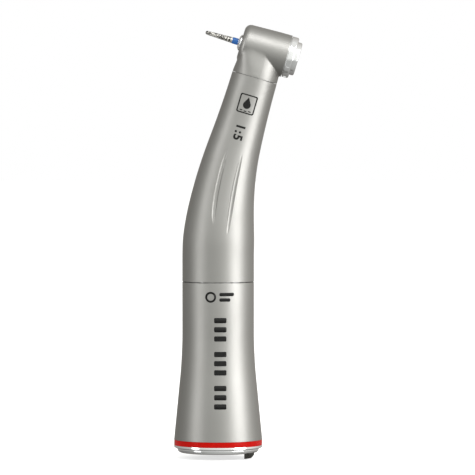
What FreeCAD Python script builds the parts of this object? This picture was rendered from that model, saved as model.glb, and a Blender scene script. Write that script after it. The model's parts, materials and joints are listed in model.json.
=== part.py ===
import FreeCAD, Part
import math
import os

# Dental contra angle handpiece, 1:5 speed increasing, with a friction grip bur in its chuck.
# Millimetres. The rear (coupling) axis is +Z and the rear face is at z = 0. The neck leans towards +X,
# the push button faces +X and the bur points towards -X. The part is symmetric about the plane y = 0,
# apart from the index key and the gear teeth.
#
# Two frames are used. The rear frame is the part's own frame. The head frame has its origin where the
# neck axis crosses the bur axis: its z runs along the neck, out of the top of the head, and its x runs
# along the bur axis, from the bur to the push button.

Vec = FreeCAD.Vector

# ---------------------------------------------------------------- driving dimensions
LEAN_DEG = 16.5          # neck axis against the rear axis
CORNER_Z = 55.36         # where the rear axis and the neck axis cross
NECK_RUN = 34.75         # from that crossing to the bur axis
BEND_R = 87.9            # bend of the outer sleeve
GRIP_R = 7.85            # the straight part that is held
GRIP_TOP_Z = 37.66       # joint between the grip sleeve and the neck sleeve
COUPLING_BORE_R = 5.5    # takes the motor's nose
COUPLING_DEPTH = 22.0
CARRIER_LOW_Z = 31.5     # where the coupling sleeve ends and the rear bearings' carrier starts
FLARE_R = 9.72           # widest part of the grip sleeve, at its foot
FLARE_CORNER_Z = 21.6    # where the flare's slope would meet the straight part
FLARE_ARC_R = 95.0       # arc between the two
BAND_LOW_Z = 1.65
BAND_TOP_Z = 2.85
JOINT_GAP = 0.12         # shadow gap at each joint line
HEAD_JOINT_Z = -6.51     # head frame: joint between the head and the neck sleeve
SPIGOT_R = 4.30          # the head's spigot, which plugs into the neck sleeve
SPIGOT_LENGTH = 3.0
SPIGOT_END_Z = HEAD_JOINT_Z - SPIGOT_LENGTH
NECK_END_R = 5.06
SLIM_START_S, SLIM_END_S = 2.88, 43.3    # the neck slims between these places on its centreline
SLIM_EARLY, SLIM_LATE = 0.167, 0.504     # how gently the slimming starts and ends
WALL = 0.7               # outer sleeves
SLEEVE_R = 7.20          # outside of the coupling sleeve
RING_R = 9.70            # rear end ring and colour band
RING_SEAT_R = 9.15       # inside of the colour band
FOOT_BORE_R = 8.70       # inside of the grip sleeve's foot
FOOT_BORE_TOP_Z = 5.2

FACE_X = -5.05           # head frame: face that the bur comes out of
CAP_X = 5.55             # where the cap meets the head
CAP_TOP_X = 7.03
BUTTON_TOP_X = 8.02
HEAD_SMALL_R = 4.40      # at the bur end
HEAD_LARGE_R = 4.70      # at the cap end
CAP_R = 4.59
BUTTON_R = 3.70
BUTTON_TRAVEL = 0.70

BUR_SHANK_R = 0.80
BUR_LENGTH = 16.8
BUR_TIP_X = -13.20
SLIP = 0.02              # radial clearance of a sliding or turning fit

# 1:5 gear train: an internal bevel pair at the bend (30:10), a bevel pair in the head (20:12)
RING_TEETH, REAR_PINION_TEETH = 30, 10
CROWN_TEETH, SPINDLE_PINION_TEETH = 20, 12
RING_PITCH_R = 4.30      # at the teeth's outer ends
SPINDLE_PINION_PITCH_R = 1.75
BEND_TOOTH_SHARE = 0.86  # a tooth's thickness, as a share of half the pitch
HEAD_TOOTH_SHARE = 0.80
PRESSURE_ANGLE = math.radians(20)

lean = math.radians(LEAN_DEG)
neck_axis = Vec(math.sin(lean), 0, math.cos(lean))
corner = Vec(0, 0, CORNER_Z)
head_centre = corner + neck_axis * NECK_RUN
head_place = FreeCAD.Placement(head_centre, FreeCAD.Rotation(Vec(0, 1, 0), LEAN_DEG))
along_x = FreeCAD.Placement(Vec(0, 0, 0), FreeCAD.Rotation(Vec(0, 1, 0), 90))
up = Vec(0, 0, 1)
nodes = {}


# ---------------------------------------------------------------- helpers
def keep(name, *solids):
    """Stores the solids that make up one node."""
    nodes[name] = [s for shape in solids for s in shape.Solids]


def in_head(shape):
    """A shape made in the head frame, put where the head is."""
    moved = shape.copy()
    moved.Placement = head_place.multiply(moved.Placement)
    return moved


def on_bur_axis(shape):
    """A shape turned about z, laid along the bur axis: its z becomes the head frame's x."""
    moved = shape.copy()
    moved.Placement = head_place.multiply(along_x).multiply(moved.Placement)
    return moved


def rounded_wire(corners):
    """A closed wire in the x-z plane through (x, z, rounding) corners, each rounding a tangent arc."""
    points = [Vec(c[0], 0, c[1]) for c in corners]
    sizes = [c[2] if len(c) > 2 else 0 for c in corners]
    edges, ends = [], []
    for i, p in enumerate(points):
        before, after = points[i - 1], points[(i + 1) % len(points)]
        if sizes[i] == 0:
            ends.append((p, p))
            continue
        a, b = (before - p).normalize(), (after - p).normalize()
        half = a.getAngle(b) / 2
        reach = sizes[i] / math.tan(half)
        middle = p + (a + b).normalize() * (sizes[i] / math.sin(half) - sizes[i])
        start, end = p + a * reach, p + b * reach
        edges.append((i, Part.Arc(start, middle, end).toShape()))
        ends.append((start, end))
    arcs = dict(edges)
    path = []
    for i in range(len(points)):
        if i in arcs:
            path.append(arcs[i])
        here, there = ends[i][1], ends[(i + 1) % len(points)][0]
        if here.distanceToPoint(there) > 1e-6:
            path.append(Part.makeLine(here, there))
    return Part.Wire(path)


def turned(corners):
    """A solid of revolution about z, from (radius, height, rounding) corners."""
    return Part.Face(rounded_wire(corners)).revolve(Vec(0, 0, 0), up, 360)


def tube(inner, outer, low, high):
    return turned([(inner, low), (outer, low), (outer, high), (inner, high)])


def rod(radius, low, high):
    return Part.makeCylinder(radius, high - low, Vec(0, 0, low))


def ring_of(radius, section):
    return Part.makeTorus(radius, section)


def polar(radius, angle, z=0.0):
    return Vec(radius * math.cos(angle), radius * math.sin(angle), z)


def frustum(outline, low_z, low_scale, high_z, high_scale):
    """A solid between two copies of an (x, y) outline, with flat sides."""
    low = [Vec(x * low_scale, y * low_scale, low_z) for x, y in outline]
    high = [Vec(x * high_scale, y * high_scale, high_z) for x, y in outline]
    faces = [Part.Face(Part.makePolygon(loop + loop[:1])) for loop in (low, high)]
    for i in range(len(outline)):
        j = (i + 1) % len(outline)
        faces.append(Part.Face(Part.makePolygon([low[i], low[j], high[j], high[i], low[i]])))
    solid = Part.Solid(Part.Shell(faces))
    if solid.Volume < 0:
        solid.reverse()
    return solid


# ---------------------------------------------------------------- gears
def involute(angle):
    return math.tan(angle) - angle


def gear_outline(teeth, pitch_r, tip_r, root_r, cone, thickness):
    """Outline of a bevel gear, in the plane across its axis at the teeth's outer ends. A tooth lies on
    the x axis. Flanks are the involute of the equivalent spur gear, wound onto this cone; thickness is
    the tooth's share of half the pitch."""
    equivalent_r = pitch_r / math.cos(cone)
    base_r = equivalent_r * math.cos(PRESSURE_ANGLE)
    spread = equivalent_r / pitch_r
    half_pitch = math.pi / (2 * teeth) / spread

    def half_angle(radius):
        along = equivalent_r + (radius - pitch_r) * math.cos(cone)
        flank = math.acos(min(1.0, base_r / along))
        return spread * (half_pitch * thickness + involute(PRESSURE_ANGLE) - involute(flank))

    low_r = max(root_r, pitch_r + (base_r - equivalent_r) / math.cos(cone))
    radii = [root_r] + [low_r + (tip_r - low_r) * share for share in (0.15, 0.4, 0.7, 1.0)]
    points = []
    for tooth in range(teeth):
        centre = 2 * math.pi * tooth / teeth
        flank = [(r, half_angle(max(r, low_r))) for r in radii]
        for r, half in flank:
            points.append((r * math.cos(centre - half), r * math.sin(centre - half)))
        for r, half in reversed(flank):
            points.append((r * math.cos(centre + half), r * math.sin(centre + half)))
    return points


def bevel_angles(ratio, shaft_angle, internal):
    """Pitch cone half angles (driven pinion, driving gear) of a bevel pair."""
    turn = -math.cos(shaft_angle) if internal else math.cos(shaft_angle)
    pinion = math.atan2(math.sin(shaft_angle), ratio + turn)
    return pinion, (pinion + shaft_angle if internal else shaft_angle - pinion)


# ---------------------------------------------------------------- ball bearings
BALL_GAP = 0.04          # between a ball and its races
CAGE_GAP = 0.07          # between the cage and the races' lands
POCKET_GAP = 0.04        # between a ball and its pocket


def bearing(name, place, low, bore_r, outer_r, width, ball_r, balls):
    """One deep groove ball bearing: outer race, inner race, ball cage and balls, each its own node."""
    pitch_r = (bore_r + outer_r) / 2
    land = 0.45 * ball_r
    middle = low + width / 2
    track = Part.makeTorus(pitch_r, ball_r + BALL_GAP, Vec(0, 0, middle))
    angles = [2 * math.pi * (i + 0.5) / balls for i in range(balls)]
    cage_half = land - CAGE_GAP
    half_height = min(width / 2 - 0.05, ball_r + 0.15)
    cage = tube(pitch_r - cage_half, pitch_r + cage_half, middle - half_height, middle + half_height)
    for angle in angles:
        foot = polar(pitch_r - 2 * cage_half, angle, middle)
        pocket = Part.makeCylinder(ball_r + POCKET_GAP, 4 * cage_half, foot, polar(1, angle))
        cage = cage.cut(pocket)
    keep(name + "_outer_race", place(tube(pitch_r + land, outer_r, low, low + width).cut(track)))
    keep(name + "_inner_race", place(tube(bore_r, pitch_r - land, low, low + width).cut(track)))
    keep(name + "_cage", place(cage))
    centres = [polar(pitch_r, angle, middle) for angle in angles]
    keep(name + "_balls", *[place(Part.makeSphere(ball_r, centre)) for centre in centres])


# ---------------------------------------------------------------- the outer sleeve's bent shape
def centreline(s):
    """Point and lean of the bent centreline, s mm along it from the start of the bend."""
    start_z = CORNER_Z - BEND_R * math.tan(lean / 2)
    if s < 0:
        return Vec(0, 0, start_z + s), 0.0
    angle = min(s / BEND_R, lean)
    point = Vec(BEND_R * (1 - math.cos(angle)), 0, start_z + BEND_R * math.sin(angle))
    past = max(0.0, s - BEND_R * lean)
    return point + neck_axis * past, angle


def sleeve_radius(s):
    """Outer radius: straight, then an easy curve down to the neck's end. A cubic Bezier law in s."""
    if s <= SLIM_START_S:
        return GRIP_R
    if s >= SLIM_END_S:
        return NECK_END_R
    run = SLIM_END_S - SLIM_START_S
    knots = (SLIM_START_S, SLIM_START_S + SLIM_EARLY * run, SLIM_END_S - SLIM_LATE * run, SLIM_END_S)
    low, high = 0.0, 1.0
    while high - low > 1e-9:
        t = (low + high) / 2
        u = 1 - t
        here = u**3 * knots[0] + 3 * u * u * t * knots[1] + 3 * u * t * t * knots[2] + t**3 * knots[3]
        low, high = (t, high) if here < s else (low, t)
    u = 1 - low
    share = u**3 + 3 * u * u * low
    return NECK_END_R + (GRIP_R - NECK_END_R) * share


BEND_START_Z = CORNER_Z - BEND_R * math.tan(lean / 2)
SLEEVE_START_S = GRIP_TOP_Z - BEND_START_Z
SLEEVE_END_S = BEND_R * lean + NECK_RUN - BEND_R * math.tan(lean / 2) + HEAD_JOINT_Z


def bent_solid(first_s, last_s, inset, stations=15):
    """The sleeve's outer form between two places on its centreline, made smaller by inset."""
    wires = []
    for i in range(stations):
        s = first_s + (last_s - first_s) * i / (stations - 1)
        point, angle = centreline(s)
        circle = Part.Wire(Part.makeCircle(sleeve_radius(s) - inset))
        turn = FreeCAD.Rotation(Vec(0, 1, 0), math.degrees(angle))
        circle.Placement = FreeCAD.Placement(point, turn)
        wires.append(circle)
    return Part.makeLoft(wires, True, False)


def surface_point(s, around_deg, lift):
    """A point lift mm above the sleeve. Around is measured from the -y side towards +x."""
    point, angle = centreline(s)
    across = Vec(math.cos(angle), 0, -math.sin(angle))
    around = math.radians(around_deg)
    out = across * math.sin(around) + Vec(0, -1, 0) * math.cos(around)
    return point + out * (sleeve_radius(s) + lift)


# ---------------------------------------------------------------- casings
FLUTE_TOOL_R = 0.58      # ball nose cutter that leaves the finger flutes
FLUTE_DEPTH = 0.34
# each flute: (s, degrees round from the side) at its low end, middle and high end
FLUTES = (
    ((5.8, 14.0), (15.2, 18.5), (23.9, 21.0)),
    ((7.9, -10.2), (15.3, -13.2), (24.6, -12.0)),
)


def flute_cutter(flute, side):
    low, middle, high = flute
    points = [
        surface_point(*low, FLUTE_TOOL_R),
        surface_point(*middle, FLUTE_TOOL_R - FLUTE_DEPTH),
        surface_point(*high, FLUTE_TOOL_R),
    ]
    points = [Vec(p.x, p.y * side, p.z) for p in points]
    path = Part.Arc(*points)
    start = path.value(path.FirstParameter)
    heading = path.tangent(path.FirstParameter)[0]
    section = Part.Wire(Part.makeCircle(FLUTE_TOOL_R, start, heading))
    return Part.Wire(path.toShape()).makePipeShell([section], True, False)


def neck_sleeve():
    """Bent titanium sleeve from the grip to the head, with two finger flutes on each side."""
    shell = bent_solid(SLEEVE_START_S, SLEEVE_END_S, 0.0)
    register = rod(SPIGOT_R, HEAD_JOINT_Z - SPIGOT_LENGTH - 0.1, HEAD_JOINT_Z + 1)
    shell = shell.cut(bent_solid(SLEEVE_START_S - 1, SLEEVE_END_S - SPIGOT_LENGTH, WALL))
    shell = shell.cut(in_head(register))
    for flute in FLUTES:
        for side in (1, -1):
            shell = shell.cut(flute_cutter(flute, side))
    keep("neck_sleeve", shell)


def grip_sleeve():
    """Rear titanium sleeve: straight where it is held, flared towards the coupling."""
    top = GRIP_TOP_Z - JOINT_GAP
    keep("grip_sleeve", turned([
        (FOOT_BORE_R, BAND_TOP_Z),
        (FLARE_R, BAND_TOP_Z, 0.06),
        (GRIP_R, FLARE_CORNER_Z, FLARE_ARC_R),
        (GRIP_R, top, 0.10),
        (SLEEVE_R, top),
        (SLEEVE_R, 12.0),
        (FOOT_BORE_R, FOOT_BORE_TOP_Z),
    ]))


def colour_ring():
    """Speed code band: red for speed increasing."""
    keep("colour_ring", turned([
        (RING_SEAT_R, BAND_LOW_Z), (RING_R, BAND_LOW_Z, 0.05), (RING_R, BAND_TOP_Z, 0.05),
        (RING_SEAT_R, BAND_TOP_Z),
    ]))


KEY_AZIMUTH_DEG = 58.0   # from the -y side towards +x
KEY_INNER_R, KEY_OUTER_R = 7.45, 8.62
KEY_HALF_WIDTH = 1.20
KEY_DROP = 1.10          # how far it stands out of the rear face
KEY_DEPTH = 2.0          # how far it is let into the end ring
KEY_SLOPE_IN, KEY_SLOPE_UP = 0.72, 0.95  # the slanted corner at its foot
KEY_GROOVES = 3
KEY_GROOVE_FIRST = 0.22  # above its foot
KEY_GROOVE_DEPTH, KEY_GROOVE_HEIGHT, KEY_GROOVE_PITCH = 0.10, 0.13, 0.30
RIM_R = 8.95             # foot of the end ring
RIM_STEP_Z = 0.90


def key_block(bottom):
    """The index key's block, made along +x and then turned to its place."""
    corners = [
        (KEY_INNER_R, bottom), (KEY_OUTER_R - KEY_SLOPE_IN, bottom),
        (KEY_OUTER_R, bottom + KEY_SLOPE_UP), (KEY_OUTER_R, KEY_DEPTH), (KEY_INNER_R, KEY_DEPTH),
    ]
    block = Part.Face(rounded_wire(corners)).extrude(Vec(0, 2 * KEY_HALF_WIDTH, 0))
    block.translate(Vec(0, -KEY_HALF_WIDTH, 0))
    block.rotate(Vec(0, 0, 0), up, KEY_AZIMUTH_DEG - 90)
    return block


def end_ring_and_key():
    """Polished ring that closes the rear end, with the key that sets the motor's turn."""
    ring = turned([
        (SLEEVE_R, 0.0),
        (RIM_R, 0.0, 0.85),
        (RIM_R, RIM_STEP_Z),
        (RIM_R + 0.17, RIM_STEP_Z),
        (RING_R, RIM_STEP_Z + 0.28, 0.12),
        (RING_R, BAND_LOW_Z),
        (RING_SEAT_R, BAND_LOW_Z),
        (RING_SEAT_R, BAND_TOP_Z),
        (FOOT_BORE_R, BAND_TOP_Z),
        (FOOT_BORE_R, FOOT_BORE_TOP_Z),
        (SLEEVE_R, FOOT_BORE_TOP_Z),
    ])
    key = key_block(-KEY_DROP)
    keep("end_ring", ring.cut(key))
    for i in range(KEY_GROOVES):
        low = Vec(KEY_INNER_R, -KEY_HALF_WIDTH, -KEY_DROP + KEY_GROOVE_FIRST + KEY_GROOVE_PITCH * i)
        groove = Part.makeBox(KEY_OUTER_R - KEY_INNER_R, KEY_GROOVE_DEPTH, KEY_GROOVE_HEIGHT, low)
        groove.rotate(Vec(0, 0, 0), up, KEY_AZIMUTH_DEG - 90)
        key = key.cut(groove)
    keep("index_key", key)


CATCH_DEPTH = 0.45       # groove for the motor nose's spring catch, with 45 degree sides
CATCH_Z, CATCH_HALF = 12.9, 0.55
DRIVE_ROOM_R = 4.6       # stepped bore round the drive dog


def coupling_sleeve():
    """Inner sleeve that takes the motor's nose, with the groove for the nose's spring catch."""
    catch_r = COUPLING_BORE_R + CATCH_DEPTH
    catch_low, catch_high = CATCH_Z - CATCH_HALF, CATCH_Z + CATCH_HALF
    keep("coupling_sleeve", turned([
        (COUPLING_BORE_R, 0.0), (SLEEVE_R, 0.0), (SLEEVE_R, CARRIER_LOW_Z), (DRIVE_ROOM_R, CARRIER_LOW_Z),
        (DRIVE_ROOM_R, COUPLING_DEPTH), (COUPLING_BORE_R, COUPLING_DEPTH),
        (COUPLING_BORE_R, catch_high + CATCH_DEPTH), (catch_r, catch_high), (catch_r, catch_low),
        (COUPLING_BORE_R, catch_low - CATCH_DEPTH),
    ]))


NOSE_ROUNDING = 1.37     # round the barrel's face
STUB_LEFT, STUB_RIGHT, STUB_SIDE = 5.03, 4.72, 4.40      # the stub's half widths inside the barrel
STUB_SQUARENESS = 4.6    # exponent of the superellipse towards the bur; 2 is round
STUB_DENT = 0.24


def head_shell():
    """Outer form of the head: a barrel along the bur axis and the stub that joins it to the neck."""
    back = CAP_X - JOINT_GAP
    barrel = turned([
        (0, FACE_X), (HEAD_SMALL_R, FACE_X, NOSE_ROUNDING), (HEAD_LARGE_R, 3.3, 60.0),
        (HEAD_LARGE_R, back, 0.08), (0, back),
    ])
    barrel.Placement = along_x
    wires = []
    levels = 5
    for level in range(levels):
        share = level / (levels - 1)
        ease = share * share * (3 - 2 * share)
        dent = STUB_DENT * math.sin(math.pi * share) ** 2
        left = STUB_LEFT + (NECK_END_R - STUB_LEFT) * ease - dent
        right = STUB_RIGHT + (NECK_END_R - STUB_RIGHT) * ease
        side = STUB_SIDE + (NECK_END_R - STUB_SIDE) * ease
        power = STUB_SQUARENESS + (2 - STUB_SQUARENESS) * ease
        wires.append(stub_section(HEAD_JOINT_Z * share, left, right, side, power))
    return barrel.fuse(Part.makeLoft(wires, True, False))


def stub_section(z, left, right, side, power, points=48):
    """Section of the stub: squared towards the bur's face, round towards the button."""
    loop = []
    for i in range(points):
        angle = 2 * math.pi * i / points
        c, s = math.cos(angle), math.sin(angle)
        reach, bend = (right, 2.0) if c >= 0 else (left, power)
        radius = (abs(c / reach) ** bend + abs(s / side) ** bend) ** (-1 / bend)
        loop.append(Vec(radius * c, radius * s, z))
    curve = Part.BSplineCurve()
    curve.interpolate(Points=loop, PeriodicFlag=True)
    return Part.Wire(curve.toShape())


SPINDLE_BEARING_R = 3.10
NECK_BEARING_R = 3.00
HEAD_BORE_R = 4.00
THREAD_R = 4.25
FRONT_BEARING_X = -4.55
REAR_BEARING_X = 3.95
SPINDLE_BEARING_W = 1.20
O_RING_R = 0.20          # section of both O-rings
SPIGOT_GROOVE_Z = -8.25  # head frame
CROWN_ROOM_R = 3.45
CROWN_ROOM_Z = -4.60     # head frame: foot of the crown gear's room


def head_housing():
    spigot = rod(SPIGOT_R, SPIGOT_END_Z, HEAD_JOINT_Z + 0.5)
    body = head_shell().fuse(spigot).removeSplitter()
    bores = [
        (2.40, FACE_X - 1, FRONT_BEARING_X - 0.05),
        (SPINDLE_BEARING_R, FRONT_BEARING_X - 0.06, FRONT_BEARING_X + SPINDLE_BEARING_W + 0.10),
        (HEAD_BORE_R, FRONT_BEARING_X + SPINDLE_BEARING_W + 0.10, REAR_BEARING_X),
        (THREAD_R, REAR_BEARING_X, CAP_X + 1),
    ]
    for radius, low, high in bores:
        bore = rod(radius, low, high)
        bore.Placement = along_x
        body = body.cut(bore)
    body = body.cut(rod(CROWN_ROOM_R, CROWN_ROOM_Z, 0.0))
    body = body.cut(rod(NECK_BEARING_R, SPIGOT_END_Z - 1, CROWN_ROOM_Z))
    groove = tube(SPIGOT_R - 0.45, SPIGOT_R + 0.2, SPIGOT_GROOVE_Z - 0.30, SPIGOT_GROOVE_Z + 0.30)
    keep("head_housing", in_head(body.cut(groove)))
    o_ring = ring_of(SPIGOT_R - 0.24, O_RING_R)
    o_ring.translate(Vec(0, 0, SPIGOT_GROOVE_Z))
    keep("head_o_ring", in_head(o_ring))


WRENCH_NOTCHES = 6
WRENCH_NOTCH_WIDTH, WRENCH_NOTCH_DEPTH, WRENCH_NOTCH_HEIGHT = 1.50, 0.13, 0.74
WRENCH_NOTCH_X = 5.87
WRENCH_NOTCH_TURN_DEG = 51.0
BUTTON_FLANGE_R = 3.90   # keeps the button in the cap
BUTTON_ROOM_R = BUTTON_FLANGE_R + 0.05
BUTTON_STOP_X = 6.36     # the cap's lip that the flange rests under
BUTTON_SEAT_X = 5.20


def head_cap():
    """Screwed cap that holds the rear bearing and guides the push button."""
    cap = turned([
        (SPINDLE_BEARING_R, REAR_BEARING_X),
        (THREAD_R, REAR_BEARING_X),
        (THREAD_R, CAP_X),
        (CAP_R, CAP_X, 0.10),
        (CAP_R, CAP_TOP_X, 0.38),
        (BUTTON_R + 0.04, CAP_TOP_X),
        (BUTTON_R + 0.04, BUTTON_STOP_X),
        (BUTTON_ROOM_R, BUTTON_STOP_X),
        (BUTTON_ROOM_R, BUTTON_SEAT_X),
        (SPINDLE_BEARING_R, BUTTON_SEAT_X),
    ])
    low = Vec(CAP_R - WRENCH_NOTCH_DEPTH, -WRENCH_NOTCH_WIDTH / 2, WRENCH_NOTCH_X)
    for i in range(WRENCH_NOTCHES):
        notch = Part.makeBox(1, WRENCH_NOTCH_WIDTH, WRENCH_NOTCH_HEIGHT, low)
        notch.rotate(Vec(0, 0, 0), up, WRENCH_NOTCH_TURN_DEG + 360 / WRENCH_NOTCHES * i)
        cap = cap.cut(notch)
    keep("head_cap", on_bur_axis(cap))


COLLAR_BORE_R, COLLAR_R = 1.02, 2.40     # front cover
COLLAR_STAND = 0.57      # how far it stands out of the head's face
SPRAY_HOLES = 4
SPRAY_HOLE_R, SPRAY_PITCH_R = 0.16, 2.08


def front_cover():
    """Polished ring round the bur, with the four spray holes."""
    back = FRONT_BEARING_X - 0.05
    cover = turned([
        (COLLAR_BORE_R, back), (COLLAR_R, back), (COLLAR_R, FACE_X), (1.78, FACE_X),
        (1.78, FACE_X - 0.22, 0.05), (1.18, FACE_X - COLLAR_STAND), (COLLAR_BORE_R, FACE_X - COLLAR_STAND),
    ])
    for i in range(SPRAY_HOLES):
        around = math.radians(45 + 360 / SPRAY_HOLES * i)
        hole = Part.makeCylinder(SPRAY_HOLE_R, 2, polar(SPRAY_PITCH_R, around, FACE_X - 1))
        cover = cover.cut(hole)
    keep("front_cover", on_bur_axis(cover))


BUTTON_DISH_R, BUTTON_DISH_DEPTH = 2.45, 0.14
BUTTON_SKIRT_R = 3.20    # inside of the button
BUTTON_CEILING_X = 7.45
BUTTON_PIN_R = 0.90      # its middle pin, which pushes the plunger
SPRING_FOLDS = 6
SPRING_OUTER_R, SPRING_INNER_R = 2.95, 2.50
SPRING_SHEET = 0.16


def push_button():
    """Button with a shallow dish and a middle pin, and the folded spring that lifts it."""
    dish_x = BUTTON_TOP_X - BUTTON_DISH_DEPTH
    flange_top = BUTTON_STOP_X - 0.03
    keep("push_button", on_bur_axis(turned([
        (0, dish_x), (BUTTON_DISH_R, dish_x), (BUTTON_DISH_R + 0.20, BUTTON_TOP_X),
        (BUTTON_R, BUTTON_TOP_X, 0.34), (BUTTON_R, flange_top), (BUTTON_FLANGE_R, flange_top),
        (BUTTON_FLANGE_R, 5.95), (BUTTON_SKIRT_R, 5.95), (BUTTON_SKIRT_R, BUTTON_CEILING_X),
        (BUTTON_PIN_R, BUTTON_CEILING_X), (BUTTON_PIN_R, 6.15), (0, 6.15),
    ])))
    low, high = BUTTON_SEAT_X + 0.01, BUTTON_CEILING_X - 0.02
    path = []
    for i in range(SPRING_FOLDS + 1):
        radius = SPRING_INNER_R if i % 2 else SPRING_OUTER_R
        path.append((radius, low + (high - low) * i / SPRING_FOLDS))
    spring = turned(path + [(r + SPRING_SHEET, z) for r, z in reversed(path)])
    keep("button_spring", on_bur_axis(spring))


# ---------------------------------------------------------------- spindle, chuck and bur
BARREL_R = 1.15
JOURNAL_R = 1.50
SPINDLE_BORE_R = 0.84
REAR_JOURNAL_R = 1.20
PINION_HUB_R = 1.45
CROWN_OUTER_R = 3.10
CROWN_BORE_R = 0.70
CROWN_HUB_R = 1.45
CROWN_BASE_SCALE = 1.5   # the crown gear's teeth run on under its rim


def head_gears():
    """Crown gear on the neck shaft and the bevel pinion that turns the spindle."""
    ratio = CROWN_TEETH / SPINDLE_PINION_TEETH
    pinion_cone, crown_cone = bevel_angles(ratio, math.pi / 2, False)
    distance = SPINDLE_PINION_PITCH_R / math.sin(pinion_cone)
    module = 2 * SPINDLE_PINION_PITCH_R / SPINDLE_PINION_TEETH
    rise, fall = math.atan(0.68 * module / distance), math.atan(1.0 * module / distance)
    width_share = 0.765          # inner ends of the teeth, as a share of the cone distance

    def outline(teeth, pitch_r, cone):
        depth = distance * math.cos(cone)
        tip, root = depth * math.tan(cone + rise), depth * math.tan(cone - fall)
        return gear_outline(teeth, pitch_r, tip, root, cone, HEAD_TOOTH_SHARE), depth

    teeth, depth = outline(SPINDLE_PINION_TEETH, SPINDLE_PINION_PITCH_R, pinion_cone)
    pinion = frustum(teeth, depth * width_share, width_share, depth, 1.0)
    body = turned([
        (0, 1.0), (1.02, 1.0), (1.02, depth), (PINION_HUB_R, depth), (PINION_HUB_R, REAR_BEARING_X),
        (REAR_JOURNAL_R, REAR_BEARING_X), (REAR_JOURNAL_R, 5.28), (0, 5.28),
    ])
    pinion = pinion.fuse(body).removeSplitter().cut(rod(SPINDLE_BORE_R, 0, 6))
    keep("spindle_pinion", on_bur_axis(pinion))

    crown_pitch_r = SPINDLE_PINION_PITCH_R * ratio
    teeth, depth = outline(CROWN_TEETH, crown_pitch_r, crown_cone)
    half_pitch_turn = math.pi / CROWN_TEETH
    c, s = math.cos(half_pitch_turn), math.sin(half_pitch_turn)
    teeth = [(x * c - y * s, x * s + y * c) for x, y in teeth]
    base = -depth * CROWN_BASE_SCALE
    crown = frustum(teeth, base, CROWN_BASE_SCALE, -depth * width_share, width_share)
    crown = crown.common(rod(CROWN_OUTER_R, base, 0))
    hub = turned([
        (CROWN_BORE_R, -4.55), (CROWN_HUB_R, -4.55), (CROWN_HUB_R, -3.7), (CROWN_OUTER_R, -2.9),
        (CROWN_OUTER_R, base), (CROWN_BORE_R, base),
    ])
    crown = crown.fuse(hub).removeSplitter().cut(rod(CROWN_BORE_R, -5, -1))
    dish = rod(1.55, -1.95, -1)
    keep("crown_gear", in_head(crown.cut(dish)))


CHUCK_BORE_R = 1.00      # seat of the collet in the spindle
COLLET_FRONT_X, COLLET_BACK_X = -5.50, -2.05
COLLET_SLITS, COLLET_SLIT_WIDTH, COLLET_SLIT_LENGTH = 3, 0.14, 2.6
PLUNGER_R = 0.78
PLUNGER_FRONT_X, PLUNGER_BACK_X = 4.30, 5.95


def spindle():
    """Hollow spindle with its slit collet, and the plunger behind the bur."""
    journal_end = FRONT_BEARING_X + SPINDLE_BEARING_W
    barrel = turned([
        (CHUCK_BORE_R, -4.60), (JOURNAL_R, -4.60), (JOURNAL_R, journal_end), (BARREL_R, journal_end + 0.35),
        (BARREL_R, 1.0), (SPINDLE_BORE_R, 1.0), (SPINDLE_BORE_R, -2.0), (CHUCK_BORE_R, -2.0),
    ])
    keep("spindle_barrel", on_bur_axis(barrel))
    collet = tube(BUR_SHANK_R + SLIP, CHUCK_BORE_R - SLIP, COLLET_FRONT_X, COLLET_BACK_X)
    for i in range(COLLET_SLITS):
        low = Vec(0, -COLLET_SLIT_WIDTH / 2, COLLET_FRONT_X - 0.1)
        slit = Part.makeBox(2, COLLET_SLIT_WIDTH, COLLET_SLIT_LENGTH, low)
        slit.rotate(Vec(0, 0, 0), up, 360 / COLLET_SLITS * i)
        collet = collet.cut(slit)
    keep("chuck_collet", on_bur_axis(collet))
    plunger = turned([
        (0, PLUNGER_FRONT_X), (PLUNGER_R, PLUNGER_FRONT_X, 0.15), (PLUNGER_R, PLUNGER_BACK_X, 0.25),
        (0, PLUNGER_BACK_X),
    ])
    keep("release_plunger", on_bur_axis(plunger))


BAND_NEAR_X, BAND_FAR_X = -5.72, -7.02
BAND_CORE_R, BAND_R = 0.60, 0.72         # painted band in a turned groove
DIAMOND_TIP_R, DIAMOND_FOOT_R = 0.46, 0.70


def bur():
    """Friction grip bur: plain shank, painted grit band and a tapered diamond head."""
    end_x = BUR_TIP_X + BUR_LENGTH
    step_x = BAND_FAR_X - 0.1
    shank = turned([
        (0, step_x), (BAND_CORE_R, step_x), (BAND_CORE_R, BAND_NEAR_X), (BUR_SHANK_R, BAND_NEAR_X),
        (BUR_SHANK_R, end_x, 0.2), (0, end_x),
    ])
    keep("bur_shank", on_bur_axis(shank))
    keep("bur_grit_band", on_bur_axis(tube(BAND_CORE_R, BAND_R, BAND_FAR_X, BAND_NEAR_X)))
    head = turned([
        (0, BUR_TIP_X), (DIAMOND_TIP_R, BUR_TIP_X, 0.42), (DIAMOND_FOOT_R, BAND_FAR_X, 0.05),
        (BAND_CORE_R, BAND_FAR_X), (BAND_CORE_R, step_x), (0, step_x),
    ])
    keep("bur_diamond_head", on_bur_axis(head))


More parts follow.
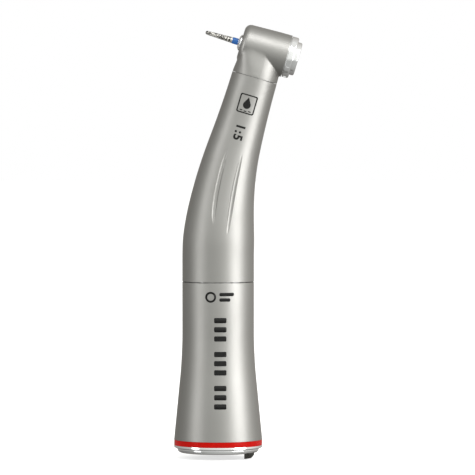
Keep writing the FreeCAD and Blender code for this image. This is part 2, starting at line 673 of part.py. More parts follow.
# ---------------------------------------------------------------- neck shaft and rear shaft
NECK_SHAFT_R = 0.90
NECK_BEARING_W = 1.80
NECK_FRONT_Z = -6.60                 # head frame
NECK_REAR_Z = -NECK_RUN - 5.40       # head frame
REAR_SHAFT_R = 2.00
REAR_BEARING_R = 4.80
REAR_BEARING_W = 2.40
REAR_LOW_Z, REAR_HIGH_Z = 33.4, 39.6
RING_GEAR_R = 5.10                   # outside of the ring gear's cup
RING_GEAR_FOOT_Z = 42.3
RING_GEAR_FLOOR_Z = 44.3
NECK_SHAFT_WAIST_R = 0.55            # inside the neck pinion
NECK_SHAFT_END_R = 0.70              # inside the crown gear
NECK_SHOULDER_R = 1.25               # between the two neck bearings
REAR_SHOULDER_R = 2.55               # between the two rear bearings
DRIVE_SEAT_R = 1.40                  # the drive dog's bore


def bend_gears():
    """Internal ring gear on the rear shaft and the pinion inside it, on the neck shaft."""
    ratio = RING_TEETH / REAR_PINION_TEETH
    pinion_cone, ring_cone = bevel_angles(ratio, lean, True)
    distance = RING_PITCH_R / math.sin(ring_cone)
    pinion_pitch_r = distance * math.sin(pinion_cone)
    module = 2 * RING_PITCH_R / RING_TEETH
    rise, fall = math.atan(0.72 * module / distance), math.atan(0.98 * module / distance)
    width_share = 0.735

    depth = distance * math.cos(pinion_cone)
    tip, root = depth * math.tan(pinion_cone + rise), depth * math.tan(pinion_cone - fall)
    teeth = gear_outline(REAR_PINION_TEETH, pinion_pitch_r, tip, root, pinion_cone, BEND_TOOTH_SHARE)
    low, high = -NECK_RUN - depth, -NECK_RUN - depth * width_share
    pinion = frustum(teeth, low, 1.0, high, width_share).cut(rod(NECK_SHAFT_WAIST_R, low - 1, high + 1))
    keep("neck_pinion", in_head(pinion))

    depth = distance * math.cos(ring_cone)
    outer, inner = depth * math.tan(ring_cone + fall), depth * math.tan(ring_cone - rise)
    space = gear_outline(RING_TEETH, RING_PITCH_R, outer, inner, ring_cone, 2 - BEND_TOOTH_SHARE)
    low, high = CORNER_Z - depth, CORNER_Z - depth * width_share
    cup = turned([
        (REAR_SHAFT_R, RING_GEAR_FOOT_Z), (3.2, RING_GEAR_FOOT_Z), (3.4, RING_GEAR_FOOT_Z + 0.9),
        (RING_GEAR_R, RING_GEAR_FOOT_Z + 1.3, 0.2), (RING_GEAR_R, high - 0.9), (4.55, high),
        (REAR_SHAFT_R, high),
    ])
    relief = rod(outer + 0.05, RING_GEAR_FLOOR_Z, low)
    cup = cup.cut(frustum(space, low, 1.0, high + 0.01, (CORNER_Z - high - 0.01) / depth)).cut(relief)
    keep("ring_gear", cup)


def shafts():
    """Neck shaft, rear shaft and the slotted dog that the motor drives."""
    foot, low, front = -NECK_RUN - 9.9, NECK_REAR_Z, NECK_FRONT_Z
    seat_top, front_top = low + NECK_BEARING_W, front + NECK_BEARING_W
    neck = turned([
        (0, foot), (NECK_SHAFT_WAIST_R, foot), (NECK_SHAFT_WAIST_R, foot + 2.35), (1.10, low - 1.4),
        (1.10, low), (NECK_SHAFT_R, low), (NECK_SHAFT_R, seat_top), (NECK_SHOULDER_R, seat_top),
        (NECK_SHOULDER_R, front), (NECK_SHAFT_R, front), (NECK_SHAFT_R, front_top),
        (NECK_SHAFT_END_R, front_top), (NECK_SHAFT_END_R, -2.0), (0, -2.0),
    ])
    keep("neck_shaft", in_head(neck))
    low, high = REAR_LOW_Z, REAR_HIGH_Z
    seat_top = low + REAR_BEARING_W
    rear = turned([
        (0, 28.2), (DRIVE_SEAT_R, 28.2), (DRIVE_SEAT_R, 32.2), (2.6, 32.2), (2.6, low), (REAR_SHAFT_R, low),
        (REAR_SHAFT_R, seat_top), (REAR_SHOULDER_R, seat_top), (REAR_SHOULDER_R, high), (REAR_SHAFT_R, high),
        (REAR_SHAFT_R, RING_GEAR_FLOOR_Z), (0, RING_GEAR_FLOOR_Z),
    ])
    keep("rear_shaft", rear)
    dog = turned([(DRIVE_SEAT_R, 25.2), (2.5, 25.2, 0.2), (2.5, 31.6), (DRIVE_SEAT_R, 31.6)])
    slot_width, slot_length, slot_depth = 1.3, 8, 2.2
    slot = Part.makeBox(slot_width, slot_length, slot_depth, Vec(-slot_width / 2, -slot_length / 2, 25.0))
    keep("drive_dog", dog.cut(slot))


# ---------------------------------------------------------------- inner frames, tubes and seals
TUBE_R = 0.42
TUBE_WALL = 0.14
TUBE_OUT = 6.25          # how far the spray tubes run from the middle, beside the gears
CARRIER_LIP_R = 7.10     # over the bend frame's seat
CARRIER_TOP_Z = 42.0
BEARING_SHOULDER_R = 4.35
CARRIER_GROOVE_Z = 34.9
SHAFT_TUBE_R, SHAFT_TUBE_BORE_R = 2.2, 1.7
BEND_FRAME_TOP_Z = 60.0


def spray_path(side):
    """Route of one spray tube: beside the gears, then in towards the head."""
    start = Vec(0, TUBE_OUT * side, CARRIER_LOW_Z)
    bend = Vec(0, TUBE_OUT * side, 47.0)
    neck = head_place.multVec(Vec(0, 4.70 * side, -24.0))
    end = head_place.multVec(Vec(0, 3.55 * side, SPIGOT_END_Z - 0.2))
    points = [start, bend, neck, end]
    edges, here = [], start
    for i in (1, 2):
        a, b = (points[i - 1] - points[i]).normalize(), (points[i + 1] - points[i]).normalize()
        half = a.getAngle(b) / 2
        run = min((points[i] - points[i - 1]).Length, (points[i + 1] - points[i]).Length)
        radius = 0.3 * run * math.tan(half)
        reach = radius / math.tan(half)
        middle = points[i] + (a + b).normalize() * (radius / math.sin(half) - radius)
        edges.append(Part.makeLine(here, points[i] + a * reach))
        edges.append(Part.Arc(points[i] + a * reach, middle, points[i] + b * reach).toShape())
        here = points[i] + b * reach
    edges.append(Part.makeLine(here, end))
    return Part.Wire(edges), start


def spray_pipe(side, radius):
    path, start = spray_path(side)
    return path.makePipeShell([Part.Wire(Part.makeCircle(radius, start, up))], True, False)


def frames_and_tubes():
    """What the outer sleeves hide: bearing carrier, bend frame, shaft tube, seals and spray tubes."""
    holes = [spray_pipe(side, TUBE_R + 0.03) for side in (1, -1)]
    shoulder_low = REAR_LOW_Z + REAR_BEARING_W
    carrier = turned([
        (REAR_BEARING_R, CARRIER_LOW_Z), (SLEEVE_R, CARRIER_LOW_Z), (SLEEVE_R, GRIP_TOP_Z - 0.4),
        (CARRIER_LIP_R, GRIP_TOP_Z - 0.2), (CARRIER_LIP_R, CARRIER_TOP_Z), (REAR_BEARING_R, CARRIER_TOP_Z),
        (REAR_BEARING_R, REAR_HIGH_Z), (BEARING_SHOULDER_R, REAR_HIGH_Z), (BEARING_SHOULDER_R, shoulder_low),
        (REAR_BEARING_R, shoulder_low),
    ])
    groove = tube(6.75, SLEEVE_R + 0.1, CARRIER_GROOVE_Z - 0.30, CARRIER_GROOVE_Z + 0.30)
    carrier = carrier.cut(groove)
    for hole in holes:
        carrier = carrier.cut(hole)
    keep("bearing_carrier", carrier)
    o_ring = ring_of(6.96, O_RING_R)
    o_ring.translate(Vec(0, 0, CARRIER_GROOVE_Z))
    keep("grip_o_ring", o_ring)
    circlip = tube(4.0, REAR_BEARING_R, REAR_LOW_Z - 0.45, REAR_LOW_Z)
    gap = Part.makeBox(6, 1.2, 1, Vec(0, -0.6, REAR_LOW_Z - 0.7))
    keep("bearing_circlip", circlip.cut(gap))

    low_s, high_s = CARRIER_TOP_Z - BEND_START_Z, BEND_FRAME_TOP_Z - BEND_START_Z
    frame = bent_solid(low_s, high_s, WALL + 0.06, 8)
    frame = frame.cut(rod(RING_GEAR_R + 0.22, CARRIER_TOP_Z - 1, 48.85))
    seat_low, seat_high = NECK_REAR_Z, NECK_REAR_Z + NECK_BEARING_W
    frame = frame.cut(in_head(rod(NECK_BEARING_R, seat_low - 6, seat_high)))
    frame = frame.cut(in_head(rod(SHAFT_TUBE_R, seat_high - 1, -NECK_RUN + 12)))
    for hole in holes:
        frame = frame.cut(hole)
    keep("bend_frame", frame)
    keep("shaft_tube", in_head(tube(SHAFT_TUBE_BORE_R, SHAFT_TUBE_R, -NECK_RUN + 2.0, SPIGOT_END_Z)))
    for name, side in (("water_tube", -1), ("air_tube", 1)):
        solid = spray_pipe(side, TUBE_R).cut(spray_pipe(side, TUBE_R - TUBE_WALL))
        keep(name, solid)


def bearings():
    """Two ball bearings each for the spindle, the neck shaft and the rear shaft."""
    def spindle_size(bore_r):
        return bore_r, SPINDLE_BEARING_R, SPINDLE_BEARING_W, 0.40, 8

    neck_size = (NECK_SHAFT_R, NECK_BEARING_R, NECK_BEARING_W, 0.50, 7)
    rear_size = (REAR_SHAFT_R, REAR_BEARING_R, REAR_BEARING_W, 0.75, 8)
    bearing("spindle_front", on_bur_axis, FRONT_BEARING_X, *spindle_size(JOURNAL_R))
    bearing("spindle_rear", on_bur_axis, REAR_BEARING_X, *spindle_size(REAR_JOURNAL_R))
    bearing("neck_front", in_head, NECK_FRONT_Z, *neck_size)
    bearing("neck_rear", in_head, NECK_REAR_Z, *neck_size)
    bearing("rear_shaft_low", Part.Shape.copy, REAR_LOW_Z, *rear_size)
    bearing("rear_shaft_high", Part.Shape.copy, REAR_HIGH_Z, *rear_size)


def main():
    for make in (
        neck_sleeve, grip_sleeve, colour_ring, end_ring_and_key, coupling_sleeve, head_housing, head_cap,
        front_cover, push_button, head_gears, spindle, bur, bend_gears, shafts, frames_and_tubes, bearings,
    ):
        make()
    os.makedirs("parts", exist_ok=True)
    for old in os.listdir("parts"):
        os.remove(os.path.join("parts", old))
    for name, solids in nodes.items():
        bad = [i for i, s in enumerate(solids) if not s.isValid() or s.Volume <= 0]
        shape = solids[0] if len(solids) == 1 else Part.makeCompound(solids)
        shape.exportStep(os.path.join("parts", name + ".step"))
        volume = sum(s.Volume for s in solids)
        verdict = "INVALID " + str(bad) if bad else ""
        print(f"{name:28s} solids {len(solids):2d}  volume {volume:9.3f} mm3", verdict)
    print(len(nodes), "nodes")


main()
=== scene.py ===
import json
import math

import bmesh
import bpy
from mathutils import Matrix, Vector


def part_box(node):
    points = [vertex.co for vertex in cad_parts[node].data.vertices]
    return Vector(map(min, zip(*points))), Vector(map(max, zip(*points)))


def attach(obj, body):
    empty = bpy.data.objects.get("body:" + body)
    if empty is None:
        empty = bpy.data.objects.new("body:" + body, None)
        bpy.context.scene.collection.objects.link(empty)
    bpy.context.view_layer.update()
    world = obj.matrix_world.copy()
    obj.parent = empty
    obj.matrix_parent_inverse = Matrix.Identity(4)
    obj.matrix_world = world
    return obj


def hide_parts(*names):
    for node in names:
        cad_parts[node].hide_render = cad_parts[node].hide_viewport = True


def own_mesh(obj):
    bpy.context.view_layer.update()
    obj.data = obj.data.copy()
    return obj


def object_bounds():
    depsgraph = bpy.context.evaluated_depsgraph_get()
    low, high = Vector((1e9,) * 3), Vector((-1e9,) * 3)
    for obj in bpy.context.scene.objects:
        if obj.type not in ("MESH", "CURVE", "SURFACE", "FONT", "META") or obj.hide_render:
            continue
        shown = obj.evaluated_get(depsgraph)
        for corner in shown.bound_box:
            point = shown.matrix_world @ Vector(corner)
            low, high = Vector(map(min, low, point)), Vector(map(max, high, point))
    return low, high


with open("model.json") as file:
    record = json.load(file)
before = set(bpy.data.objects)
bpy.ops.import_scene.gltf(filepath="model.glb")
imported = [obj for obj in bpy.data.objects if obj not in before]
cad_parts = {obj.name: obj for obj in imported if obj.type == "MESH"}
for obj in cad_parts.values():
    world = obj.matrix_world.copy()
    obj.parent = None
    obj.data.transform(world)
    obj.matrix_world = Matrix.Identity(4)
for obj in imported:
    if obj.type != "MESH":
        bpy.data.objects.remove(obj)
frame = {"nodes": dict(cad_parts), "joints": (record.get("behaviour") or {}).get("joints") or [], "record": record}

# %% [markdown]
# # A contra angle handpiece, piece by piece
# A contra angle is the slim metal handle that a dentist drives a bur with. Two titanium sleeves cover a
# gear train, a small head sits across the end of the neck, and a coupling bore at the rear slides onto a
# motor. The working parts come in ready made as a fixed frame, so this lesson only adds what the eye
# sees: the outer shells with their fine edges, the finger flutes, the printed marks and every finish.
# Nothing in the frame is moved. Each new piece is modelled where it belongs and takes its place.

MM = 0.001
bpy.context.view_layer.update()
cad_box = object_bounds()

# %% [markdown]
# ## The two axes everything hangs on
# The rear half is round about the upright axis. The neck leans, and the head sits across the neck's far
# end. The joints already know both lines, because a shaft turns about each, so they are read from the
# joints and not typed again.

# %% Read the neck's line and the bur's line from the joints
joints = {joint["name"]: joint for joint in frame["joints"]}
neck_line = Vector(joints["neck_shaft_spin"]["axis"]).normalized()
bur_line = Vector(joints["spindle_spin"]["axis"]).normalized()
head_centre = Vector(joints["spindle_spin"]["pos_m"])
lean = neck_line.angle(Vector((0, 0, 1)))
corner = head_centre - neck_line * (head_centre.x / neck_line.x)
neck_run = (head_centre - corner).length
side = Vector((0, 1, 0))
# in the head frame, z runs up the neck; in the bur frame, z runs from the bur to the push button
head_frame = Matrix.Translation(head_centre) @ Matrix((bur_line, side, neck_line)).transposed().to_4x4()
bur_frame = Matrix.Translation(head_centre) @ Matrix((-neck_line, side, bur_line)).transposed().to_4x4()
print("the neck leans", round(math.degrees(lean), 2), "degrees; the lines cross at", corner.z / MM, "mm")

# %% [markdown]
# ## Picking parts of a mesh
# In edit mode an operator works on whatever is selected. With no mouse at hand, the selection is made by
# place: a test is given the middle of each face, edge or vertex and says whether it is wanted.

# %% Helpers to select by place


def leave_edit():
    """Back to object mode with nothing selected."""
    if bpy.context.object and bpy.context.object.mode != "OBJECT":
        bpy.ops.object.mode_set(mode="OBJECT")
    bpy.ops.object.select_all(action="DESELECT")


def take(piece):
    """Makes one piece the selected and active one, in object mode."""
    leave_edit()
    piece.select_set(True)
    bpy.context.view_layer.objects.active = piece


def open_mesh(piece, mode="VERT"):
    take(piece)
    bpy.ops.object.mode_set(mode="EDIT")
    bpy.ops.mesh.select_mode(type=mode)
    bpy.ops.mesh.select_all(action="DESELECT")


def pick(test, kind="verts"):
    """In edit mode, selects only the verts, edges or faces whose middle passes the test."""
    mesh = bmesh.from_edit_mesh(bpy.context.edit_object.data)
    for each in list(mesh.verts) + list(mesh.edges) + list(mesh.faces):
        each.select = False
    count = 0
    for each in getattr(mesh, kind):
        corners = [each] if kind == "verts" else each.verts
        middle = sum((vert.co for vert in corners), Vector()) / len(corners)
        if test(middle):
            each.select_set(True)
            count += 1
    mesh.select_flush_mode()
    bmesh.update_edit_mesh(bpy.context.edit_object.data)
    return count


def apply_modifier(piece, kind, **settings):
    take(piece)
    modifier = piece.modifiers.new(kind.title(), kind)
    for key, value in settings.items():
        setattr(modifier, key, value)
    bpy.ops.object.modifier_apply(modifier=modifier.name)


def settle(piece, matrix=None):
    """Writes the piece's place into its mesh, so that its object sits unturned at the origin."""
    if matrix:
        bpy.context.view_layer.update()
        piece.matrix_world = matrix @ piece.matrix_world
    take(piece)
    bpy.ops.object.transform_apply(location=True, rotation=True, scale=True)
    return piece


def smooth(piece, degrees=32):
    take(piece)
    bpy.ops.object.shade_smooth_by_angle(angle=math.radians(degrees))
    return piece


WELD = 1e-6              # points nearer than a thousandth of a millimetre are one point


def close_up(piece):
    """Welds doubled points and turns every face outwards."""
    open_mesh(piece)
    bpy.ops.mesh.select_all(action="SELECT")
    bpy.ops.mesh.remove_doubles(threshold=WELD)
    bpy.ops.mesh.normals_make_consistent(inside=False)
    leave_edit()
    return piece


def cut_with(piece, tool, how="DIFFERENCE"):
    """Cuts, joins or crosses a piece with a tool, and throws the tool away."""
    apply_modifier(piece, "BOOLEAN", object=tool, operation=how, solver="EXACT")
    bpy.data.objects.remove(tool)


print("helpers ready")

# %% [markdown]
# ## Turned parts
# Nearly every part of a handpiece comes off a lathe. A lathe part is half of its section, spun once
# round. The section starts as a single point, each corner is extruded from the last, and a corner that
# the maker breaks is rounded with a vertex bevel before the spin. Drawing the finished solid and
# bevelling its edges afterwards would work too, but the section is where a machinist thinks.

# %% Turn a section


def turned(name, corners, steps=128, closed=True, matrix=None):
    """A lathe part about +Z. Corners are (radius, height) or (radius, height, rounding radius), in mm."""
    leave_edit()
    bpy.ops.mesh.primitive_plane_add(size=MM)
    piece = bpy.context.object
    piece.name = name
    bpy.ops.object.mode_set(mode="EDIT")
    bpy.ops.mesh.select_mode(type="VERT")
    bpy.ops.mesh.select_all(action="SELECT")
    bpy.ops.mesh.merge(type="CENTER")
    places = [Vector((corner[0], 0, corner[1])) * MM for corner in corners]
    bpy.ops.transform.translate(value=places[0])
    for before, after in zip(places, places[1:]):
        bpy.ops.mesh.extrude_region_move(TRANSFORM_OT_translate={"value": after - before})
    if closed:
        pick(lambda co: (co - places[0]).length < WELD or (co - places[-1]).length < WELD)
        bpy.ops.mesh.edge_face_add()
    for i, corner in enumerate(corners):
        if len(corner) > 2:
            to_before = places[i - 1] - places[i]
            to_after = places[(i + 1) % len(places)] - places[i]
            reach = corner[2] * MM / math.tan(to_before.angle(to_after) / 2)
            pick(lambda co: (co - places[i]).length < WELD)
            parts = 24 if corner[2] > 10 else 5
            bpy.ops.mesh.bevel(offset_type="OFFSET", offset=reach, segments=parts, affect="VERTICES")
    bpy.ops.mesh.select_all(action="SELECT")
    bpy.ops.mesh.spin(steps=steps, angle=2 * math.pi, center=(0, 0, 0), axis=(0, 0, 1), use_auto_merge=False)
    close_up(piece)
    if matrix:
        settle(piece, matrix)
    return smooth(piece)


print("turned() ready")

# %% [markdown]
# ## Finishes
# A metal's colour is the colour of its reflection, so it is pale and its look comes from roughness: a
# blasted sleeve scatters light into a soft band, a polished ring mirrors the room. Each finish below
# starts from the real metal, lacquer or rubber. Colours are written as sRGB hex and made linear once.

# %% Colour and node helpers


def linear(hex_colour):
    """An sRGB hex colour as linear red, green, blue, alpha."""
    channels = [int(hex_colour[i:i + 2], 16) / 255 for i in (1, 3, 5)]
    return [c / 12.92 if c <= 0.04045 else ((c + 0.055) / 1.055) ** 2.4 for c in channels] + [1.0]


def add(tree, kind, links=None, **settings):
    """Adds a node. Links maps an input's name or number to a value or to another node's output."""
    made = tree.nodes.new(kind)
    for key, value in settings.items():
        setattr(made, key, value)
    for socket, value in (links or {}).items():
        if isinstance(value, bpy.types.NodeSocket):
            tree.links.new(value, made.inputs[socket])
        else:
            made.inputs[socket].default_value = value
    return made


def per_mm(size):
    """Noise scale for features of that size, in mm, on object coordinates in metres."""
    return 1 / (size * MM)


def finish(name, colours, roughness, metallic=0.0, blotch=6.0, grain=0.3, grain_depth=0.0, swing=0.05,
           stretch=(1, 1, 1), turn=(0, 0, 0), **constants):
    """A surface whose colour drifts between two tones over blotch mm, whose roughness swings about its
    middle value, and whose skin has a grain of that size in mm, raised by grain_depth in mm."""
    material = bpy.data.materials.new(name)
    material.use_nodes = True
    tree = material.node_tree
    tree.nodes.clear()
    place = add(tree, "ShaderNodeTexCoord").outputs["Object"]
    laid = add(tree, "ShaderNodeMapping", {"Vector": place, "Rotation": turn, "Scale": stretch}).outputs[0]
    drift = add(tree, "ShaderNodeTexNoise", {"Vector": place, "Scale": per_mm(blotch), "Detail": 4.0})
    fine = add(tree, "ShaderNodeTexNoise", {"Vector": laid, "Scale": per_mm(grain), "Detail": 3.0})
    tone = add(tree, "ShaderNodeMix", {0: drift.outputs[0], 6: linear(colours[0]), 7: linear(colours[1])},
               data_type="RGBA")
    both = add(tree, "ShaderNodeMath", {0: drift.outputs[0], 1: fine.outputs[0]}, operation="ADD")
    rough = add(tree, "ShaderNodeMapRange", {
        "Value": both.outputs[0], "From Min": 0.6, "From Max": 1.4,
        "To Min": roughness - swing, "To Max": roughness + swing})
    skin = add(tree, "ShaderNodeBump", {
        "Height": fine.outputs[0], "Distance": grain_depth * MM, "Strength": 1.0})
    shader = add(tree, "ShaderNodeBsdfPrincipled", {
        "Base Color": tone.outputs[2], "Roughness": rough.outputs[0], "Normal": skin.outputs[0],
        "Metallic": metallic})
    for socket, value in constants.items():
        shader.inputs[socket.replace("_", " ").title().replace("Ior", "IOR")].default_value = value
    add(tree, "ShaderNodeOutputMaterial", {"Surface": shader.outputs[0]})
    return material


print("a mid grey is", [round(c, 3) for c in linear("#808080")])

# %% [markdown]
# ### The metals
# The sleeves are titanium, blasted with fine glass beads and then coated, which gives a warm satin grey.
# The real pits are about 0.05 mm across; they are drawn at 0.16 mm so that they show as a faint tooth.
# Turned steel keeps the lathe's rings, so its grain is stretched round the part. Polished steel has
# next to no grain, only a haze of hairlines.

# %% Mix the metals
satin_titanium = finish("bead blasted titanium", ("#9E9D9B", "#969592"), 0.48, metallic=1.0, blotch=9.0,
                        grain=0.16, grain_depth=0.0022, swing=0.03)
polished_steel = finish("polished stainless steel", ("#F4F4F5", "#E8E9EB"), 0.13, metallic=1.0, blotch=4.0,
                        grain=0.25, grain_depth=0.0002, swing=0.03)
turned_steel = finish("turned stainless steel", ("#BFBFC0", "#ABABAD"), 0.27, metallic=1.0, blotch=5.0,
                      grain=0.5, grain_depth=0.002, swing=0.06, stretch=(0.1, 0.1, 4.0))
gear_steel = finish("hardened gear steel", ("#8F8D8A", "#7A7875"), 0.30, metallic=1.0, blotch=1.5,
                    grain=0.2, grain_depth=0.001, swing=0.05)
bearing_steel = finish("ground bearing steel", ("#D2D3D6", "#C3C4C8"), 0.12, metallic=1.0, blotch=2.0,
                       grain=0.2, grain_depth=0.0003, swing=0.04)
spring_steel = finish("drawn spring steel", ("#A9A7A2", "#8E8C88"), 0.28, metallic=1.0, blotch=1.0,
                      grain=0.3, grain_depth=0.0008, swing=0.05)
print("metals:", satin_titanium.name, polished_steel.name, turned_steel.name)

# %% [markdown]
# ### Lacquer, resin and rubber
# The speed code ring is glossy enamel under a clear coat. The bur's grit code is a thin blue lacquer.
# Bearing cages are brown phenolic resin, seals are black rubber, and the marks are laser annealed: the
# heat leaves a black oxide skin on the metal, so a mark is matt, dark and no longer looks like metal.

# %% Mix the coloured finishes
red_enamel = finish("red enamel", ("#A20A03", "#8C0602"), 0.26, blotch=3.0, grain=0.4, grain_depth=0.0006,
                    swing=0.05, specular_ior_level=0.06)
blue_lacquer = finish("blue lacquer", ("#1B5AA0", "#144A86"), 0.30, blotch=0.6, grain=0.15,
                      grain_depth=0.0015, swing=0.08, specular_ior_level=0.4)
dark_key_steel = finish("blackened steel", ("#1C1B18", "#2C2A24"), 0.38, metallic=0.6, blotch=0.8, grain=0.2,
                        grain_depth=0.002, swing=0.08)
cage_resin = finish("phenolic resin", ("#8A5A2B", "#6E431C"), 0.45, blotch=0.8, grain=0.12,
                    grain_depth=0.002, swing=0.08)
seal_rubber = finish("nitrile rubber", ("#151515", "#1E1D1C"), 0.55, blotch=1.5, grain=0.1,
                     grain_depth=0.002, swing=0.08)
laser_mark = finish("laser annealed mark", ("#0E0E0E", "#181817"), 0.55, blotch=0.7, grain=0.12,
                    grain_depth=0.001, swing=0.06, specular_ior_level=0.15)
print("coloured finishes:", red_enamel.name, blue_lacquer.name, laser_mark.name)

# %% [markdown]
# ### Diamond grit
# The bur's head is nickel plated over diamond grains of about 0.1 mm. The nickel is dark and the grains
# catch the light, so the colour follows the cells of a Voronoi pattern: each cell draws a number, and a
# steep ramp makes it dark or pale. The cells are 0.2 mm, coarser than the grains, so that they show.

# %% Mix the diamond grit


def diamond_grit(grain=0.20):
    material = bpy.data.materials.new("nickel bonded diamond")
    material.use_nodes = True
    tree = material.node_tree
    tree.nodes.clear()
    place = add(tree, "ShaderNodeTexCoord").outputs["Object"]
    cells = add(tree, "ShaderNodeTexVoronoi", {"Vector": place, "Scale": per_mm(grain)})
    sparkle = add(tree, "ShaderNodeTexNoise", {"Vector": place, "Scale": per_mm(0.5), "Detail": 5.0})
    ramp = add(tree, "ShaderNodeValToRGB", {"Fac": cells.outputs["Color"]})
    ramp.color_ramp.elements[0].position, ramp.color_ramp.elements[0].color = 0.38, linear("#0E0E0D")
    ramp.color_ramp.elements[1].position, ramp.color_ramp.elements[1].color = 0.66, linear("#E2E0DB")
    tone = add(tree, "ShaderNodeMix", {0: 0.15, 6: ramp.outputs[0], 7: linear("#77746F")},
               data_type="RGBA")
    lump = add(tree, "ShaderNodeBump", {"Height": cells.outputs["Distance"], "Distance": 0.03 * MM})
    rough = add(tree, "ShaderNodeMapRange", {"Value": sparkle.outputs[0], "To Min": 0.25, "To Max": 0.6})
    shader = add(tree, "ShaderNodeBsdfPrincipled", {
        "Base Color": tone.outputs[2], "Metallic": 0.8, "Roughness": rough.outputs[0],
        "Normal": lump.outputs[0]})
    add(tree, "ShaderNodeOutputMaterial", {"Surface": shader.outputs[0]})
    return material


bur_grit = diamond_grit()
print("grit:", bur_grit.name)

# %% [markdown]
# ## Dressing the frame
# Each node of the frame names a material slot. The slots are matched to the finishes, so every gear,
# race and tube inside is finished too. The frame's meshes are loose triangles, which catch the light as
# facets, so each inner part gets a welded copy with smooth shading that stands in its place.

# %% Match slots to finishes
slot_finish = {
    "satin_titanium": satin_titanium, "speed_code_red": red_enamel, "polished_steel": polished_steel,
    "dark_key": dark_key_steel, "machined_steel": turned_steel, "hardened_gear_steel": gear_steel,
    "bearing_steel": bearing_steel, "cage_resin": cage_resin, "spring_steel": spring_steel,
    "tube_steel": turned_steel, "seal_rubber": seal_rubber, "bur_steel": polished_steel,
    "grit_code_blue": blue_lacquer, "diamond_grit": bur_grit,
}
node_slot = {part["node"]: part["material_slot"] for part in frame["record"]["subparts"]}
node_body = {n: body for body, members in frame["record"]["behaviour"]["bodies"].items() for n in members}
for node, carried in frame["nodes"].items():
    carried.data.materials.clear()
    carried.data.materials.append(slot_finish[node_slot[node]])
print(len(node_slot), "nodes dressed in", len(slot_finish), "finishes")


def dress(piece, material, body, slot, *nodes):
    """Gives a finished piece its material, the body it rides on and the nodes it stands for."""
    piece.data.materials.clear()
    piece.data.materials.append(material)
    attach(piece, body)
    if nodes:
        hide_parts(*nodes)
    polygons = len(piece.data.polygons)
    low, high = (Vector(f(v.co[i] for v in piece.data.vertices) for i in range(3)) for f in (min, max))
    print(f"{piece.name}: {polygons} faces, {[round(d / MM, 2) for d in high - low]} mm")
    return piece


# %% Weld a smooth copy of each inner part
SHOWN = {
    "neck_sleeve", "grip_sleeve", "colour_ring", "end_ring", "index_key", "coupling_sleeve", "head_cap",
    "front_cover", "push_button", "bur_shank", "bur_grit_band", "bur_diamond_head", "head_housing",
}
for node in sorted(set(frame["nodes"]) - SHOWN):
    leave_edit()
    copy = bpy.data.objects.new(node + "_smooth", frame["nodes"][node].data.copy())
    bpy.context.scene.collection.objects.link(copy)
    open_mesh(copy)
    bpy.ops.mesh.select_all(action="SELECT")
    bpy.ops.mesh.remove_doubles(threshold=WELD)
    smooth(copy, 28)
    slot = node_slot[node]
    dress(copy, slot_finish[slot], node_body[node], slot, node)

# %% [markdown]
# ## The button's spring
# The spring is folded from thin sheet. It stands on the rear bearing and lifts the button, so it moves
# with the button at one end and stays put at the other. Here its smooth copy only gets a mesh
# of its own.

# %% Give the spring's smooth copy a mesh of its own
spring = bpy.data.objects["button_spring_smooth"]
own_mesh(spring)

# %% [markdown]
# ## The grip sleeve
# The rear sleeve is straight where it is held and flares towards the motor. The flare is one large
# tangent arc between two straight lines, so the section needs only its crossing point and a radius. The
# heights and radii come from the frame's own node.

# %% Turn the grip sleeve
grip_low, grip_high = (corner_ / MM for corner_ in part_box("grip_sleeve"))
neck_low, neck_high = (corner_ / MM for corner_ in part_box("neck_sleeve"))
GRIP_R = neck_high.y                  # the straight part, mm
FLARE_CROSSING_Z = 21.6               # where the flare's slope would meet the straight part
FLARE_ARC_R = 95.0
FOOT_R = grip_high.y
INNER_R = 7.2                         # the coupling sleeve fills it
grip_shell = turned("grip_shell", [
    (INNER_R + 1.5, grip_low.z), (FOOT_R, grip_low.z, 0.05), (GRIP_R, FLARE_CROSSING_Z, FLARE_ARC_R),
    (GRIP_R, grip_high.z, 0.10), (INNER_R, grip_high.z), (INNER_R, 12.0), (INNER_R + 1.5, 5.2),
], steps=160)
dress(grip_shell, satin_titanium, "casing", "satin_titanium", "grip_sleeve")

# %% [markdown]
# ## The rear end
# The rear end is a polished ring with a small step, a red enamel band above it and a blackened key that
# sets which way round the motor goes on. The ring's rim is narrow and bright, so its corners are broken
# with small radii: a sharp edge would show no highlight at all.

# %% Turn the polished ring and the red band
band_low, band_high = (corner_ / MM for corner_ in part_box("colour_ring"))
RIM_R = band_high.y
RIM_STEP_Z = 0.90                     # where the rim steps in, above the rear face
rear_ring = turned("rear_ring", [
    (INNER_R, 0.0, 0.12), (8.95, 0.0, 0.80), (8.95, RIM_STEP_Z), (9.14, RIM_STEP_Z),
    (RIM_R, 1.18, 0.14), (RIM_R, band_low.z), (9.15, band_low.z), (9.15, band_high.z),
    (8.70, band_high.z), (8.70, 5.2), (INNER_R, 5.2),
], steps=160)
dress(rear_ring, polished_steel, "casing", "polished_steel", "end_ring")
red_band = turned("red_band", [
    (9.15, band_low.z), (RIM_R, band_low.z, 0.06), (RIM_R, band_high.z, 0.06), (9.15, band_high.z),
], steps=160)
dress(red_band, red_enamel, "casing", "speed_code_red", "colour_ring")

# %% Turn the coupling sleeve, with its catch groove
sleeve_low, sleeve_high = (corner_ / MM for corner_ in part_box("coupling_sleeve"))
BORE_R = 5.5
coupling = turned("coupling_bore_sleeve", [
    (BORE_R, sleeve_low.z, 0.20), (INNER_R - 0.02, sleeve_low.z, 0.08), (INNER_R - 0.02, sleeve_high.z),
    (4.6, sleeve_high.z), (4.6, 22.0, 0.1), (BORE_R, 22.0), (BORE_R, 13.9, 0.1), (BORE_R + 0.45, 13.45),
    (BORE_R + 0.45, 12.35), (BORE_R, 11.9, 0.1),
])
dress(coupling, turned_steel, "casing", "machined_steel", "coupling_sleeve")
